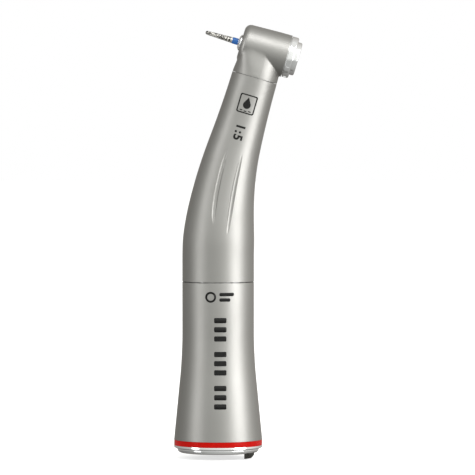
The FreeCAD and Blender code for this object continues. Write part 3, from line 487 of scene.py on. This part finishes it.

# %% [markdown]
# ## The index key
# The key is a small block let into the ring. It starts as a cube between given corners, its outer
# corner is cut to a slope with a bevel, and three grooves are milled across the side that faces the
# thumb. The milling is a boolean with thin bars.

# %% Model the key
KEY_TURN = math.radians(58.0 - 90.0)  # round the handle, from the side the neck leans to
KEY_INNER, KEY_OUTER = 7.45, 8.62
KEY_HALF = 1.20
KEY_DROP, KEY_LET_IN = 1.10, 2.0
KEY_SLOPE = 0.80                      # bevel of its outer foot
GROOVE_FIRST, GROOVE_PITCH = 0.22, 0.30          # above its foot
GROOVE_DEPTH, GROOVE_HEIGHT = 0.10, 0.13


def block(name, low, high):
    """A box between two corners, in mm, as a piece at the origin."""
    leave_edit()
    low, high = Vector(low) * MM, Vector(high) * MM
    bpy.ops.mesh.primitive_cube_add(size=1, location=(low + high) / 2)
    piece = bpy.context.object
    piece.name = name
    piece.scale = high - low
    return settle(piece)


key = block("index_key_block", (KEY_INNER, -KEY_HALF, -KEY_DROP), (KEY_OUTER, KEY_HALF, KEY_LET_IN))
open_mesh(key, "EDGE")
pick(lambda co: co.x > (KEY_OUTER - 0.01) * MM and co.z < (-KEY_DROP + 0.01) * MM, "edges")
bpy.ops.mesh.bevel(offset=KEY_SLOPE * MM, segments=1, affect="EDGES")
leave_edit()
apply_modifier(key, "BEVEL", width=0.07 * MM, segments=3)
for i in range(3):
    floor_z = -KEY_DROP + GROOVE_FIRST + GROOVE_PITCH * i
    cut_with(key, block("mill", (KEY_INNER - 0.2, -KEY_HALF - 0.1, floor_z),
                        (KEY_OUTER + 0.2, -KEY_HALF + GROOVE_DEPTH, floor_z + GROOVE_HEIGHT)))
settle(key, Matrix.Rotation(KEY_TURN, 4, "Z"))
dress(smooth(close_up(key), 30), dark_key_steel, "casing", "dark_key", "index_key")

# %% [markdown]
# ## The bent neck sleeve
# The neck is a tube whose middle line runs straight, bends through the lean and runs straight again,
# while it slims from the grip to the head. By hand one would take the end ring of a cylinder, extrude
# it, turn it a little, shrink it a little, and repeat. The loop below does just that, ring by ring. A
# bend modifier on a straight cone would be quicker, but it can't keep the ends straight.

# %% The neck's middle line and its radius
BEND_R = 87.9 * MM                    # bend of the middle line
NECK_END_R = 5.06 * MM
HEAD_JOINT = -6.51                    # along the neck from the head's middle, mm
SLIM_START, SLIM_END = 2.88 * MM, 43.3 * MM      # along the middle line, from the start of the bend
SLIM_EARLY, SLIM_LATE = 0.167, 0.504             # how gently the slimming starts and ends
bend_start_z = corner.z - BEND_R * math.tan(lean / 2)
neck_start = neck_low.z * MM - bend_start_z
neck_end = BEND_R * lean + neck_run - BEND_R * math.tan(lean / 2) + HEAD_JOINT * MM


def middle_line(s):
    """The point and lean s metres along the middle line from the start of the bend."""
    if s < 0:
        return Vector((0, 0, bend_start_z + s)), 0.0
    angle = min(s / BEND_R, lean)
    point = Vector((BEND_R * (1 - math.cos(angle)), 0, bend_start_z + BEND_R * math.sin(angle)))
    return point + neck_line * max(0.0, s - BEND_R * lean), angle


def neck_radius(s):
    """Straight, then a cubic Bezier ease down to the end of the neck."""
    share = min(1.0, max(0.0, (s - SLIM_START) / (SLIM_END - SLIM_START)))
    low, high = 0.0, 1.0
    for _ in range(40):
        t = (low + high) / 2
        along = 3 * (1 - t) ** 2 * t * SLIM_EARLY + 3 * (1 - t) * t * t * (1 - SLIM_LATE) + t ** 3
        low, high = (t, high) if along < share else (low, t)
    left = 1 - low
    ease = left ** 3 + 3 * left * left * low
    return NECK_END_R + (GRIP_R * MM - NECK_END_R) * ease


print("the middle line runs from", round(neck_start / MM, 2), "to", round(neck_end / MM, 2), "mm")

# %% Draw the sleeve ring by ring
LIP = 0.10 * MM                       # rounded edge at both ends


def bent_tube(name, first, last, lift=0.0, rings=64, sides=144, lip=LIP):
    """A tube along the middle line, its rims rounded by lip, as an open surface."""
    def edge_round(s):
        near = min(s - first, last - s)
        return lip - math.sqrt(max(0.0, lip * lip - max(0.0, lip - near) ** 2)) if lip else 0.0

    stops = [first + (last - first) * i / rings for i in range(rings + 1)]
    if lip:
        stops += [first + lip * f for f in (0.1, 0.35, 0.7)] + [last - lip * f for f in (0.1, 0.35, 0.7)]
    stops.sort()
    leave_edit()
    radius = neck_radius(first) + lift - edge_round(first)
    bpy.ops.mesh.primitive_circle_add(vertices=sides, radius=radius)
    piece = bpy.context.object
    piece.name = name
    bpy.ops.object.mode_set(mode="EDIT")
    bpy.ops.mesh.select_all(action="SELECT")
    here, turned_by = middle_line(first)
    bpy.ops.transform.translate(value=here)
    bpy.ops.transform.rotate(value=-turned_by, orient_axis="Y", center_override=here)
    for s in stops[1:]:
        there, angle = middle_line(s)
        bpy.ops.mesh.extrude_region_move(TRANSFORM_OT_translate={"value": there - here})
        if angle != turned_by:
            bpy.ops.transform.rotate(value=turned_by - angle, orient_axis="Y", center_override=there)
        scale = (neck_radius(s) + lift - edge_round(s)) / radius
        bpy.ops.transform.resize(value=(scale, scale, scale), center_override=there)
        here, turned_by, radius = there, angle, radius * scale
    leave_edit()
    return piece


neck_shell = bent_tube("neck_shell", neck_start, neck_end)
tip = max(neck_shell.data.vertices, key=lambda vert: vert.co.z).co
print("the neck's top edge:", [round(v / MM, 2) for v in tip], "the frame's:", round(neck_high.z, 2))

# %% Give the sleeve its wall
close_up(neck_shell)
apply_modifier(neck_shell, "SOLIDIFY", thickness=0.70 * MM, offset=-1.0)
print("the wall is on:", len(neck_shell.data.polygons), "faces")

# %% [markdown]
# ## Finger flutes
# Two slim flutes on each side stop the fingers from slipping round. A ball nose cutter left them: it
# came in at one end, ran a little under the skin and came out at the other, so each is pointed at both
# ends. The cutter's path is a curve through three points near the skin, thick as the cutter, turned
# into a mesh and taken away from the sleeve.

# %% Cut the flutes
CUTTER_R = 0.58 * MM
CUTTER_DEPTH = 0.34 * MM
# each flute: (mm along the middle line, degrees round from the side) at its low end, middle, high end
FLUTES = (
    ((5.8, 14.0), (15.2, 18.5), (23.9, 21.0)),
    ((7.9, -10.2), (15.3, -13.2), (24.6, -12.0)),
)


def above_skin(s_mm, round_deg, lift, facing):
    """A point lift above the sleeve, on the side that faces -y (1) or +y (-1)."""
    point, angle = middle_line(s_mm * MM)
    across = Vector((math.cos(angle), 0, -math.sin(angle)))
    swing = math.radians(round_deg)
    out = across * math.sin(swing) + Vector((0, -facing, 0)) * math.cos(swing)
    return point + out * (neck_radius(s_mm * MM) + lift)


def cutter(flute, facing):
    low = above_skin(*flute[0], CUTTER_R, facing)
    middle = above_skin(*flute[1], CUTTER_R - CUTTER_DEPTH, facing)
    high = above_skin(*flute[2], CUTTER_R, facing)
    leave_edit()
    bpy.ops.curve.primitive_bezier_curve_add()
    path = bpy.context.object
    ends = path.data.splines[0].bezier_points
    reach = middle + (middle - (low + high) / 2)
    for point, place in zip(ends, (low, high)):
        point.handle_left_type = point.handle_right_type = "FREE"
        point.co = place
        point.handle_left = point.handle_right = place + (reach - place) * 2 / 3
    path.data.bevel_depth = CUTTER_R
    path.data.bevel_resolution = 10
    path.data.resolution_u = 40
    path.data.use_fill_caps = True
    bpy.ops.object.convert(target="MESH")
    return close_up(bpy.context.object)


for flute in FLUTES:
    for facing in (1, -1):
        cut_with(neck_shell, cutter(flute, facing))
dress(smooth(neck_shell, 24), satin_titanium, "casing", "satin_titanium", "neck_sleeve")

# %% [markdown]
# ## The head housing
# The head is one investment casting: a barrel round the bur and a stub that joins it to the neck,
# squarer towards the bur than towards the button. Where the two meet, the casting has a small fillet
# that no bevel would follow, because the angle between them changes all the way round. So the two
# forms are joined, remeshed into tiny even cells and smoothed a little, which leaves a fillet of its
# own. Towards the bur, where the two run into each other, it is smoothed much more. The ends and bores
# are machined, so they are cut afterwards and stay crisp, with a fine gap to the sleeve.

# %% Shape the stub
JOINT_GAP = 0.07                      # the fine dark line between the sleeve and the head, mm
HEAD_END = 5.43                       # where the housing ends, along the bur's line
HEAD_FACE = -5.05                     # its face on the bur's side
STUB_LEFT, STUB_RIGHT, STUB_SIDE = 5.03, 4.72, 4.40
STUB_SQUARENESS = 4.6                 # exponent of the superellipse towards the bur; 2 is round
STUB_DENT = 0.24


def stub_point(angle, depth):
    """A point of the stub's skin, depth mm below the bur's line."""
    share = min(1.0, max(0.0, depth / -HEAD_JOINT))
    ease = share * share * (3 - 2 * share)
    end = NECK_END_R / MM
    left = STUB_LEFT + (end - STUB_LEFT) * ease - STUB_DENT * math.sin(math.pi * share) ** 2
    right, side = STUB_RIGHT + (end - STUB_RIGHT) * ease, STUB_SIDE + (end - STUB_SIDE) * ease
    squareness = STUB_SQUARENESS + (2 - STUB_SQUARENESS) * ease
    c, s = math.cos(angle), math.sin(angle)
    reach, power = (right, 2.0) if c >= 0 else (left, squareness)
    radius = (abs(c / reach) ** power + abs(s / side) ** power) ** (-1 / power)
    return Vector((radius * c, radius * s, -depth)) * MM


STUB_LEVELS, STUB_DEPTH = 36, 7.4
leave_edit()
bpy.ops.mesh.primitive_circle_add(vertices=144, radius=NECK_END_R)
head = bpy.context.object
head.name = "head_casting"
bpy.ops.object.mode_set(mode="EDIT")
bpy.ops.mesh.select_all(action="SELECT")
for level in range(STUB_LEVELS):
    bpy.ops.mesh.extrude_region_move(
        TRANSFORM_OT_translate={"value": (0, 0, -STUB_DEPTH / STUB_LEVELS * MM)})
leave_edit()
for vert in head.data.vertices:
    vert.co = stub_point(math.atan2(vert.co.y, vert.co.x), -vert.co.z / MM)
open_mesh(head)
bpy.ops.mesh.select_all(action="SELECT")
bpy.ops.mesh.fill_holes(sides=0)
close_up(head)
settle(head, head_frame)
print("stub:", len(head.data.polygons), "faces")

# %% Join the barrel and melt the corner between them
CELL = 0.12 * MM
barrel = turned("barrel", [
    (0, HEAD_FACE), (4.40, HEAD_FACE, 1.37), (4.70, 3.3, 60.0), (4.70, HEAD_END + 0.6), (0, HEAD_END + 0.6),
], steps=192, closed=False, matrix=bur_frame)
cut_with(head, barrel, "UNION")
apply_modifier(head, "REMESH", mode="VOXEL", voxel_size=CELL)
apply_modifier(head, "SMOOTH", factor=0.5, iterations=6)
to_head = head_frame.inverted()
SOFT_LOW, SOFT_HIGH = Vector((-4.2, -9, -5.8)) * MM, Vector((1.0, 9, -0.5)) * MM
open_mesh(head)
# towards the bur the corner is hardly there: the stub runs into the barrel without an edge
pick(lambda co: all(low < c < high for low, c, high in zip(SOFT_LOW, to_head @ co, SOFT_HIGH)))
bpy.ops.mesh.vertices_smooth(factor=0.5, repeat=60)
leave_edit()
print("casting:", len(head.data.polygons), "faces")

# %% Machine the head's ends and bores
cut_with(head, settle(block("waste", (-9, -9, HEAD_JOINT - 3), (9, 9, HEAD_JOINT + JOINT_GAP)), head_frame))
cut_with(head, settle(block("waste", (-9, -9, HEAD_END), (9, 9, HEAD_END + 3)), bur_frame))
spigot = turned("spigot", [
    (0, -9.51), (4.30, -9.51, 0.1), (4.30, -8.55), (3.85, -8.55), (3.85, -7.95), (4.30, -7.95),
    (4.30, HEAD_JOINT + 0.5), (0, HEAD_JOINT + 0.5),
], closed=False, matrix=head_frame)
cut_with(head, spigot, "UNION")
cut_with(head, turned("bur_bore", [
    (0, -6.0), (2.40, -6.0), (2.40, -4.60), (3.10, -4.60), (3.10, -3.25), (4.00, -3.25), (4.00, 3.95),
    (4.25, 3.95), (4.25, 6.0), (0, 6.0),
], closed=False, matrix=bur_frame))
cut_with(head, turned("shaft_bore", [
    (0, -10.0), (3.00, -10.0), (3.00, -4.60), (3.45, -4.60), (3.45, 0.0), (0, 0.0),
], closed=False, matrix=head_frame))
dress(smooth(close_up(head), 30), satin_titanium, "casing", "satin_titanium", "head_housing")

# %% [markdown]
# ## The head cap and the push button
# The cap screws into the back of the head. Six shallow notches round it take the dealer's spanner. The
# button sits in it with a thin dark gap all round, which is what makes it read as a separate part.

# %% Turn the cap and mill the spanner notches
CAP_FOOT, CAP_TOP = 5.55, 7.03        # along the bur's line from the head's middle, mm
CAP_R, BUTTON_R = 4.59, 3.70
NOTCH_DEPTH, NOTCH_HALF = 0.24, 0.80
NOTCH_LOW, NOTCH_HIGH = 5.87, 6.61
NOTCH_START = 51                      # degrees round the bur's line
head_cap = turned("spanner_cap", [
    (3.10, 3.95), (4.25, 3.95), (4.25, CAP_FOOT), (CAP_R, CAP_FOOT, 0.10), (CAP_R, CAP_TOP, 0.38),
    (BUTTON_R + 0.05, CAP_TOP, 0.06), (BUTTON_R + 0.05, 6.36), (3.95, 6.36), (3.95, 5.20), (3.10, 5.20),
])
for i in range(6):
    notch = block("notch", (CAP_R - NOTCH_DEPTH, -NOTCH_HALF, NOTCH_LOW), (CAP_R + 1, NOTCH_HALF, NOTCH_HIGH))
    settle(notch, Matrix.Rotation(math.radians(NOTCH_START + 60 * i), 4, "Z"))
    cut_with(head_cap, notch)
settle(close_up(head_cap), bur_frame)
dress(smooth(head_cap, 30), polished_steel, "casing", "polished_steel", "head_cap")

# %% Turn the push button
button = turned("button_cap", [
    (0, 7.86), (2.35, 7.86, 0.4), (2.70, 8.02, 0.12), (BUTTON_R, 8.02, 0.36), (BUTTON_R, 6.34), (3.90, 6.34),
    (3.90, 5.96), (3.20, 5.96), (3.20, 7.45), (0.90, 7.45), (0.90, 6.15), (0, 6.15),
], closed=False, matrix=bur_frame)
dress(button, polished_steel, "button", "polished_steel", "push_button")

# %% [markdown]
# ## The front of the head
# A polished collar surrounds the bur, and four tiny nozzles round it spray water on to the cutting tip.
# Each nozzle is a short tube, turned on its own and set in place round the collar.

# %% Turn the collar and the nozzles
NOZZLE_CIRCLE_R = 2.08
collar = turned("bur_collar", [
    (1.02, -4.60), (2.40, -4.60), (2.40, HEAD_FACE), (1.78, HEAD_FACE), (1.78, HEAD_FACE - 0.20, 0.08),
    (1.20, HEAD_FACE - 0.57, 0.05), (1.02, HEAD_FACE - 0.57),
], steps=96, matrix=bur_frame)
dress(collar, polished_steel, "casing", "polished_steel", "front_cover")
for i in range(4):
    nozzle = turned(f"spray_nozzle_{i + 1}", [
        (0.09, HEAD_FACE + 0.2), (0.19, HEAD_FACE + 0.2),
        (0.19, HEAD_FACE - 0.30, 0.05), (0.09, HEAD_FACE - 0.30),
    ], steps=24)
    place = Vector((NOZZLE_CIRCLE_R * MM, 0, 0))
    place.rotate(Matrix.Rotation(math.radians(45 + 90 * i), 3, "Z"))
    settle(nozzle, bur_frame @ Matrix.Translation(place))
    dress(nozzle, gear_steel, "casing", "machined_steel")

# %% [markdown]
# ## The bur
# A friction grip bur has a plain 1.6 mm shank, a coloured band for its grit and a diamond head. The
# grains stand proud of the nickel, so the head is turned with a dense skin and then pushed in and out
# by a cell pattern of the grains' own size.

# %% Turn the shank and its band
BAND_NEAR, BAND_FAR = -5.72, -7.02
TIP = -13.20
SHANK_END = 3.60
SHANK_R, BAND_R, CORE_R = 0.80, 0.72, 0.60
shank = turned("bur_shank_rod", [
    (0, BAND_FAR - 0.1), (CORE_R, BAND_FAR - 0.1), (CORE_R, BAND_NEAR), (SHANK_R, BAND_NEAR, 0.10),
    (SHANK_R, SHANK_END, 0.2), (0, SHANK_END),
], steps=64, closed=False, matrix=bur_frame)
dress(shank, polished_steel, "bur", "bur_steel", "bur_shank")
band = turned("bur_band", [
    (CORE_R, BAND_FAR), (BAND_R, BAND_FAR, 0.05), (BAND_R, BAND_NEAR, 0.05), (CORE_R, BAND_NEAR),
], steps=64, matrix=bur_frame)
dress(band, blue_lacquer, "bur", "grit_code_blue", "bur_grit_band")

# %% Turn the diamond head and raise its grains
GRAIN = 0.16 * MM
TIP_R, TAPER, STEPS = 0.44, 0.24, 60
tip_section = [(0, TIP + 0.03), (TIP_R, TIP + 0.03, 0.40)]
tip_section += [(TIP_R + TAPER * i / STEPS, TIP + 0.45 + (BAND_FAR - TIP - 0.55) * i / STEPS)
                for i in range(1, STEPS + 1)]
tip_section += [(CORE_R, BAND_FAR - 0.02), (0, BAND_FAR - 0.02)]
diamond = turned("bur_diamond", tip_section, steps=72, closed=False)
grit_cells = bpy.data.textures.new("grit", "VORONOI")
grit_cells.noise_scale = GRAIN
apply_modifier(diamond, "DISPLACE", texture=grit_cells, strength=0.05 * MM, mid_level=1.0,
               texture_coords="LOCAL")
settle(smooth(diamond, 60), bur_frame)
dress(diamond, bur_grit, "bur", "diamond_grit", "bur_diamond_head")

# %% [markdown]
# ## Printed marks
# The marks are laser annealed into the coat: a droplet in a square for the spray, the gear ratio, and
# plain bars down the grip. Each is drawn flat, pushed right through the sleeve as a prism and crossed
# with a skin a hundredth of a millimetre thick, so it wraps round the sleeve exactly. A decal image
# would do it with a texture, but a mesh mark stays sharp at any distance.

# %% Draw flat marks as prisms
MARK_DEPTH = 12.0                     # mm, from outside the sleeve to its middle
SKIN = 0.012 * MM


def bar(x, z, width, height, rounding=0.0):
    """A rounded rectangle in the x-z plane, in mm, as a prism towards the viewer's side."""
    piece = block("bar", (x - width / 2, -MARK_DEPTH, z - height / 2), (x + width / 2, 0, z + height / 2))
    if rounding:
        open_mesh(piece, "EDGE")
        pick(lambda co: abs(co.y + MARK_DEPTH * MM / 2) < WELD, "edges")
        bpy.ops.mesh.bevel(offset=rounding * MM, segments=5, affect="EDGES")
        leave_edit()
    return piece


def droplet(x, z, radius):
    """A circle drawn out to a point at its top, as a prism: the hull of the circle and the point."""
    leave_edit()
    bpy.ops.mesh.primitive_cylinder_add(vertices=48, radius=radius * MM, depth=MARK_DEPTH * MM,
                                        location=(x * MM, -MARK_DEPTH * MM / 2, z * MM),
                                        rotation=(math.pi / 2, 0, 0))
    piece = settle(bpy.context.object)
    open_mesh(piece)
    pick(lambda co: co.z > (z + radius * 0.999) * MM)
    bpy.ops.transform.translate(value=(0, 0, 1.05 * radius * MM))
    bpy.ops.mesh.select_all(action="SELECT")
    bpy.ops.mesh.convex_hull()
    leave_edit()
    return piece


def join(name, pieces):
    take(pieces[0])
    for piece in pieces[1:]:
        piece.select_set(True)
    bpy.ops.object.join()
    bpy.context.object.name = name
    return bpy.context.object


print("mark tools ready")

# %% Draw the square, the droplet and the ratio on the neck
MARK_SIDE = 0.05                      # the marks sit a little towards the button
# heights along the neck, below the head's middle, mm
SQUARE_Z, DROP_Z, RIPPLE_Z, RATIO_Z = -12.55, -12.75, -14.05, -18.9
SQUARE_WIDTH, SQUARE_HEIGHT, LINE = 3.90, 4.25, 0.28
square = bar(MARK_SIDE, SQUARE_Z, SQUARE_WIDTH, SQUARE_HEIGHT, 0.40)
cut_with(square, bar(MARK_SIDE, SQUARE_Z, SQUARE_WIDTH - 2 * LINE, SQUARE_HEIGHT - 2 * LINE, 0.22))
drop = droplet(MARK_SIDE, DROP_Z, 0.85)
ripples = [bar(MARK_SIDE + dx, RIPPLE_Z + dz, 0.66, 0.22, 0.10)
           for dx, dz in ((-0.95, 0), (0, -0.1), (0.95, 0))]
leave_edit()
bpy.ops.object.text_add()
ratio = bpy.context.object
ratio.data.body = "1:5"
ratio.data.size = 2.75 * MM
ratio.data.extrude = MARK_DEPTH * MM / 2
ratio.data.align_x, ratio.data.align_y = "CENTER", "CENTER"
ratio.data.resolution_u = 6
ratio.data.space_character = 1.15
ratio.data.offset = 0.09 * MM
bpy.ops.object.convert(target="MESH")
ratio = bpy.context.object
ratio.rotation_euler = (0, 0, -math.pi / 2)
settle(ratio)
ratio.rotation_euler = (math.pi / 2, 0, 0)
settle(ratio, Matrix.Translation((MARK_SIDE * MM, -MARK_DEPTH * MM / 2, RATIO_Z * MM)))
close_up(ratio)
neck_marks = [settle(piece, head_frame) for piece in [square, drop, ratio] + ripples]
print("neck marks:", [piece.name for piece in neck_marks])

# %% Wrap the neck's marks round it
for name, piece in zip(("spray_square", "spray_drop", "ratio_mark"), neck_marks):
    piece.name = name
neck_marks[3:] = [join("spray_ripples", neck_marks[3:])]
for piece in neck_marks:
    skin = bent_tube("skin", 24 * MM, neck_end - 0.5 * MM, lift=SKIN / 2, rings=24, sides=288, lip=0)
    close_up(skin)
    apply_modifier(skin, "SOLIDIFY", thickness=SKIN, offset=0.0)
    cut_with(piece, skin, "INTERSECT")
    dress(close_up(piece), laser_mark, "casing", "satin_titanium")

# %% Wrap plain bars round the grip
BARS_X = 0.5
grip_marks = [bar(BARS_X, z, 2.7, 1.15, 0.25) for z in (29.4, 27.4, 25.4, 22.0, 20.0, 18.0, 14.6, 12.6, 10.6)]
ring_out, ring_in = bar(-1.6, 34.5, 2.4, 2.4, 1.19), bar(-1.6, 34.5, 1.5, 1.5, 0.74)
cut_with(ring_out, ring_in)
grip_marks += [ring_out, bar(1.9, 35.1, 3.2, 0.75, 0.3), bar(1.5, 33.9, 2.4, 0.75, 0.3)]
grip_bars = join("grip_bars", grip_marks)
skin = turned("skin", [
    (GRIP_R + 0.012, grip_high.z - 0.2), (GRIP_R + 0.012, FLARE_CROSSING_Z, FLARE_ARC_R),
    (FOOT_R + 0.012, grip_low.z), (FOOT_R, grip_low.z), (GRIP_R, FLARE_CROSSING_Z, FLARE_ARC_R),
    (GRIP_R, grip_high.z - 0.2),
], steps=320)
cut_with(grip_bars, skin, "INTERSECT")
dress(close_up(grip_bars), laser_mark, "casing", "satin_titanium")

# %% [markdown]
# ## Light, floor and camera
# Satin metal is only as good as what it reflects. A tall soft box stands to the front right, a weaker
# one to the front left, and a wide one hangs above. The room itself is pale in front and darker behind,
# which draws the dark line down both edges, brighter on the right, and darker below the horizon, which
# gives polished steel something dark to mirror. The floor is plain and pale.

# %% Set the light
middle = (cad_box[0] + cad_box[1]) / 2
LIGHT_DISTANCE = 0.8


def soft_box(name, azimuth, elevation, width, height, power):
    """An area light that looks at the middle of the handpiece. Azimuth is from the front, to the right."""
    light = bpy.data.lights.new(name, "AREA")
    light.shape, light.size, light.size_y = "RECTANGLE", width, height
    light.energy = power
    lamp = bpy.data.objects.new(name, light)
    bpy.context.scene.collection.objects.link(lamp)
    turn, rise = math.radians(azimuth), math.radians(elevation)
    way = Vector((math.sin(turn) * math.cos(rise), -math.cos(turn) * math.cos(rise), math.sin(rise)))
    lamp.location = middle + way * LIGHT_DISTANCE
    lamp.rotation_euler = (-way).to_track_quat("-Z", "Y").to_euler()
    lamp.visible_camera = False
    return lamp


soft_box("key", 60, 14, 0.50, 1.1, 7.5)
soft_box("fill", -62, 4, 0.28, 1.1, 2.3)
soft_box("top", 12, 50, 0.7, 0.30, 2.9)
print("three soft boxes are up")

# %% Tone the room
LEFT_LEVEL, RIGHT_LEVEL = 1.17, 2.20  # how bright the room is on either hand
TABLE_SHARE = 0.48                    # how much of that is left below the horizon
world = bpy.data.worlds.new("studio")
bpy.context.scene.world = world
world.use_nodes = True
room = world.node_tree
room.nodes.clear()
way_in = add(room, "ShaderNodeTexCoord").outputs["Generated"]
parts = add(room, "ShaderNodeSeparateXYZ", {0: way_in}).outputs
frontness = add(room, "ShaderNodeMapRange", {"Value": parts[1], "From Min": 1.0, "From Max": -1.0}).outputs[0]
depth_tone = add(room, "ShaderNodeValToRGB", {"Fac": frontness})
depth_tone.color_ramp.elements[0].color = linear("#898682")
depth_tone.color_ramp.elements[1].color = linear("#CCCDC9")
depth_tone.color_ramp.elements[1].position = 0.85
rightness = add(room, "ShaderNodeMapRange", {
    "Value": parts[0], "From Min": -1.0, "To Min": LEFT_LEVEL, "To Max": RIGHT_LEVEL})
table = add(room, "ShaderNodeMapRange", {
    "Value": parts[2], "From Min": -0.35, "From Max": -0.12, "To Min": TABLE_SHARE})
strength = add(room, "ShaderNodeMath", {0: rightness.outputs[0], 1: table.outputs[0]}, operation="MULTIPLY")
reflected = add(room, "ShaderNodeBackground", {
    "Color": depth_tone.outputs[0], "Strength": strength.outputs[0]})
backdrop = add(room, "ShaderNodeBackground", {"Color": linear("#FFFFFF"), "Strength": 1.0})
seen = add(room, "ShaderNodeLightPath").outputs["Is Camera Ray"]
mixed = add(room, "ShaderNodeMixShader", {0: seen, 1: reflected.outputs[0], 2: backdrop.outputs[0]})
add(room, "ShaderNodeOutputWorld", {"Surface": mixed.outputs[0]})
bpy.context.scene.view_settings.view_transform = "Standard"
print("the room is toned")

# %% Lay the floor
leave_edit()
bpy.ops.mesh.primitive_plane_add(size=6, location=(0, 0, cad_box[0].z - 0.0002))
ground = settle(bpy.context.object)
ground.name = "pale_floor"
ground.data.materials.append(finish("pale floor", ("#CDCDCC", "#CACAC9"), 0.9, blotch=400, grain=40,
                                    emission_color=linear("#FFFFFF"), emission_strength=0.66))
ground.visible_glossy = False
print("the floor lies at", round(cad_box[0].z / MM, 2), "mm")

# %% Set the camera
VIEW_DISTANCE = 0.940
camera = bpy.data.objects.new("camera", bpy.data.cameras.new("camera"))
bpy.context.scene.collection.objects.link(camera)
aim = Vector((4.26 * MM, 0, 47.3 * MM))
camera.location = Vector((4.26 * MM, -VIEW_DISTANCE, 78.7 * MM))
camera.rotation_euler = (aim - camera.location).to_track_quat("-Z", "Y").to_euler()
camera.data.sensor_width = 36
camera.data.lens = 324
camera.data.clip_start = 0.01
bpy.context.scene.camera = camera
print("the camera is", VIEW_DISTANCE, "m away")

# %% [markdown]
# ## The frame's box
# The frame's own box is printed at the end. The visual model has to stay inside the frame's own
# box.

# %% Print the frame's box
bpy.context.view_layer.update()
print("frame box", [[round(v, 5) for v in point] for point in cad_box])
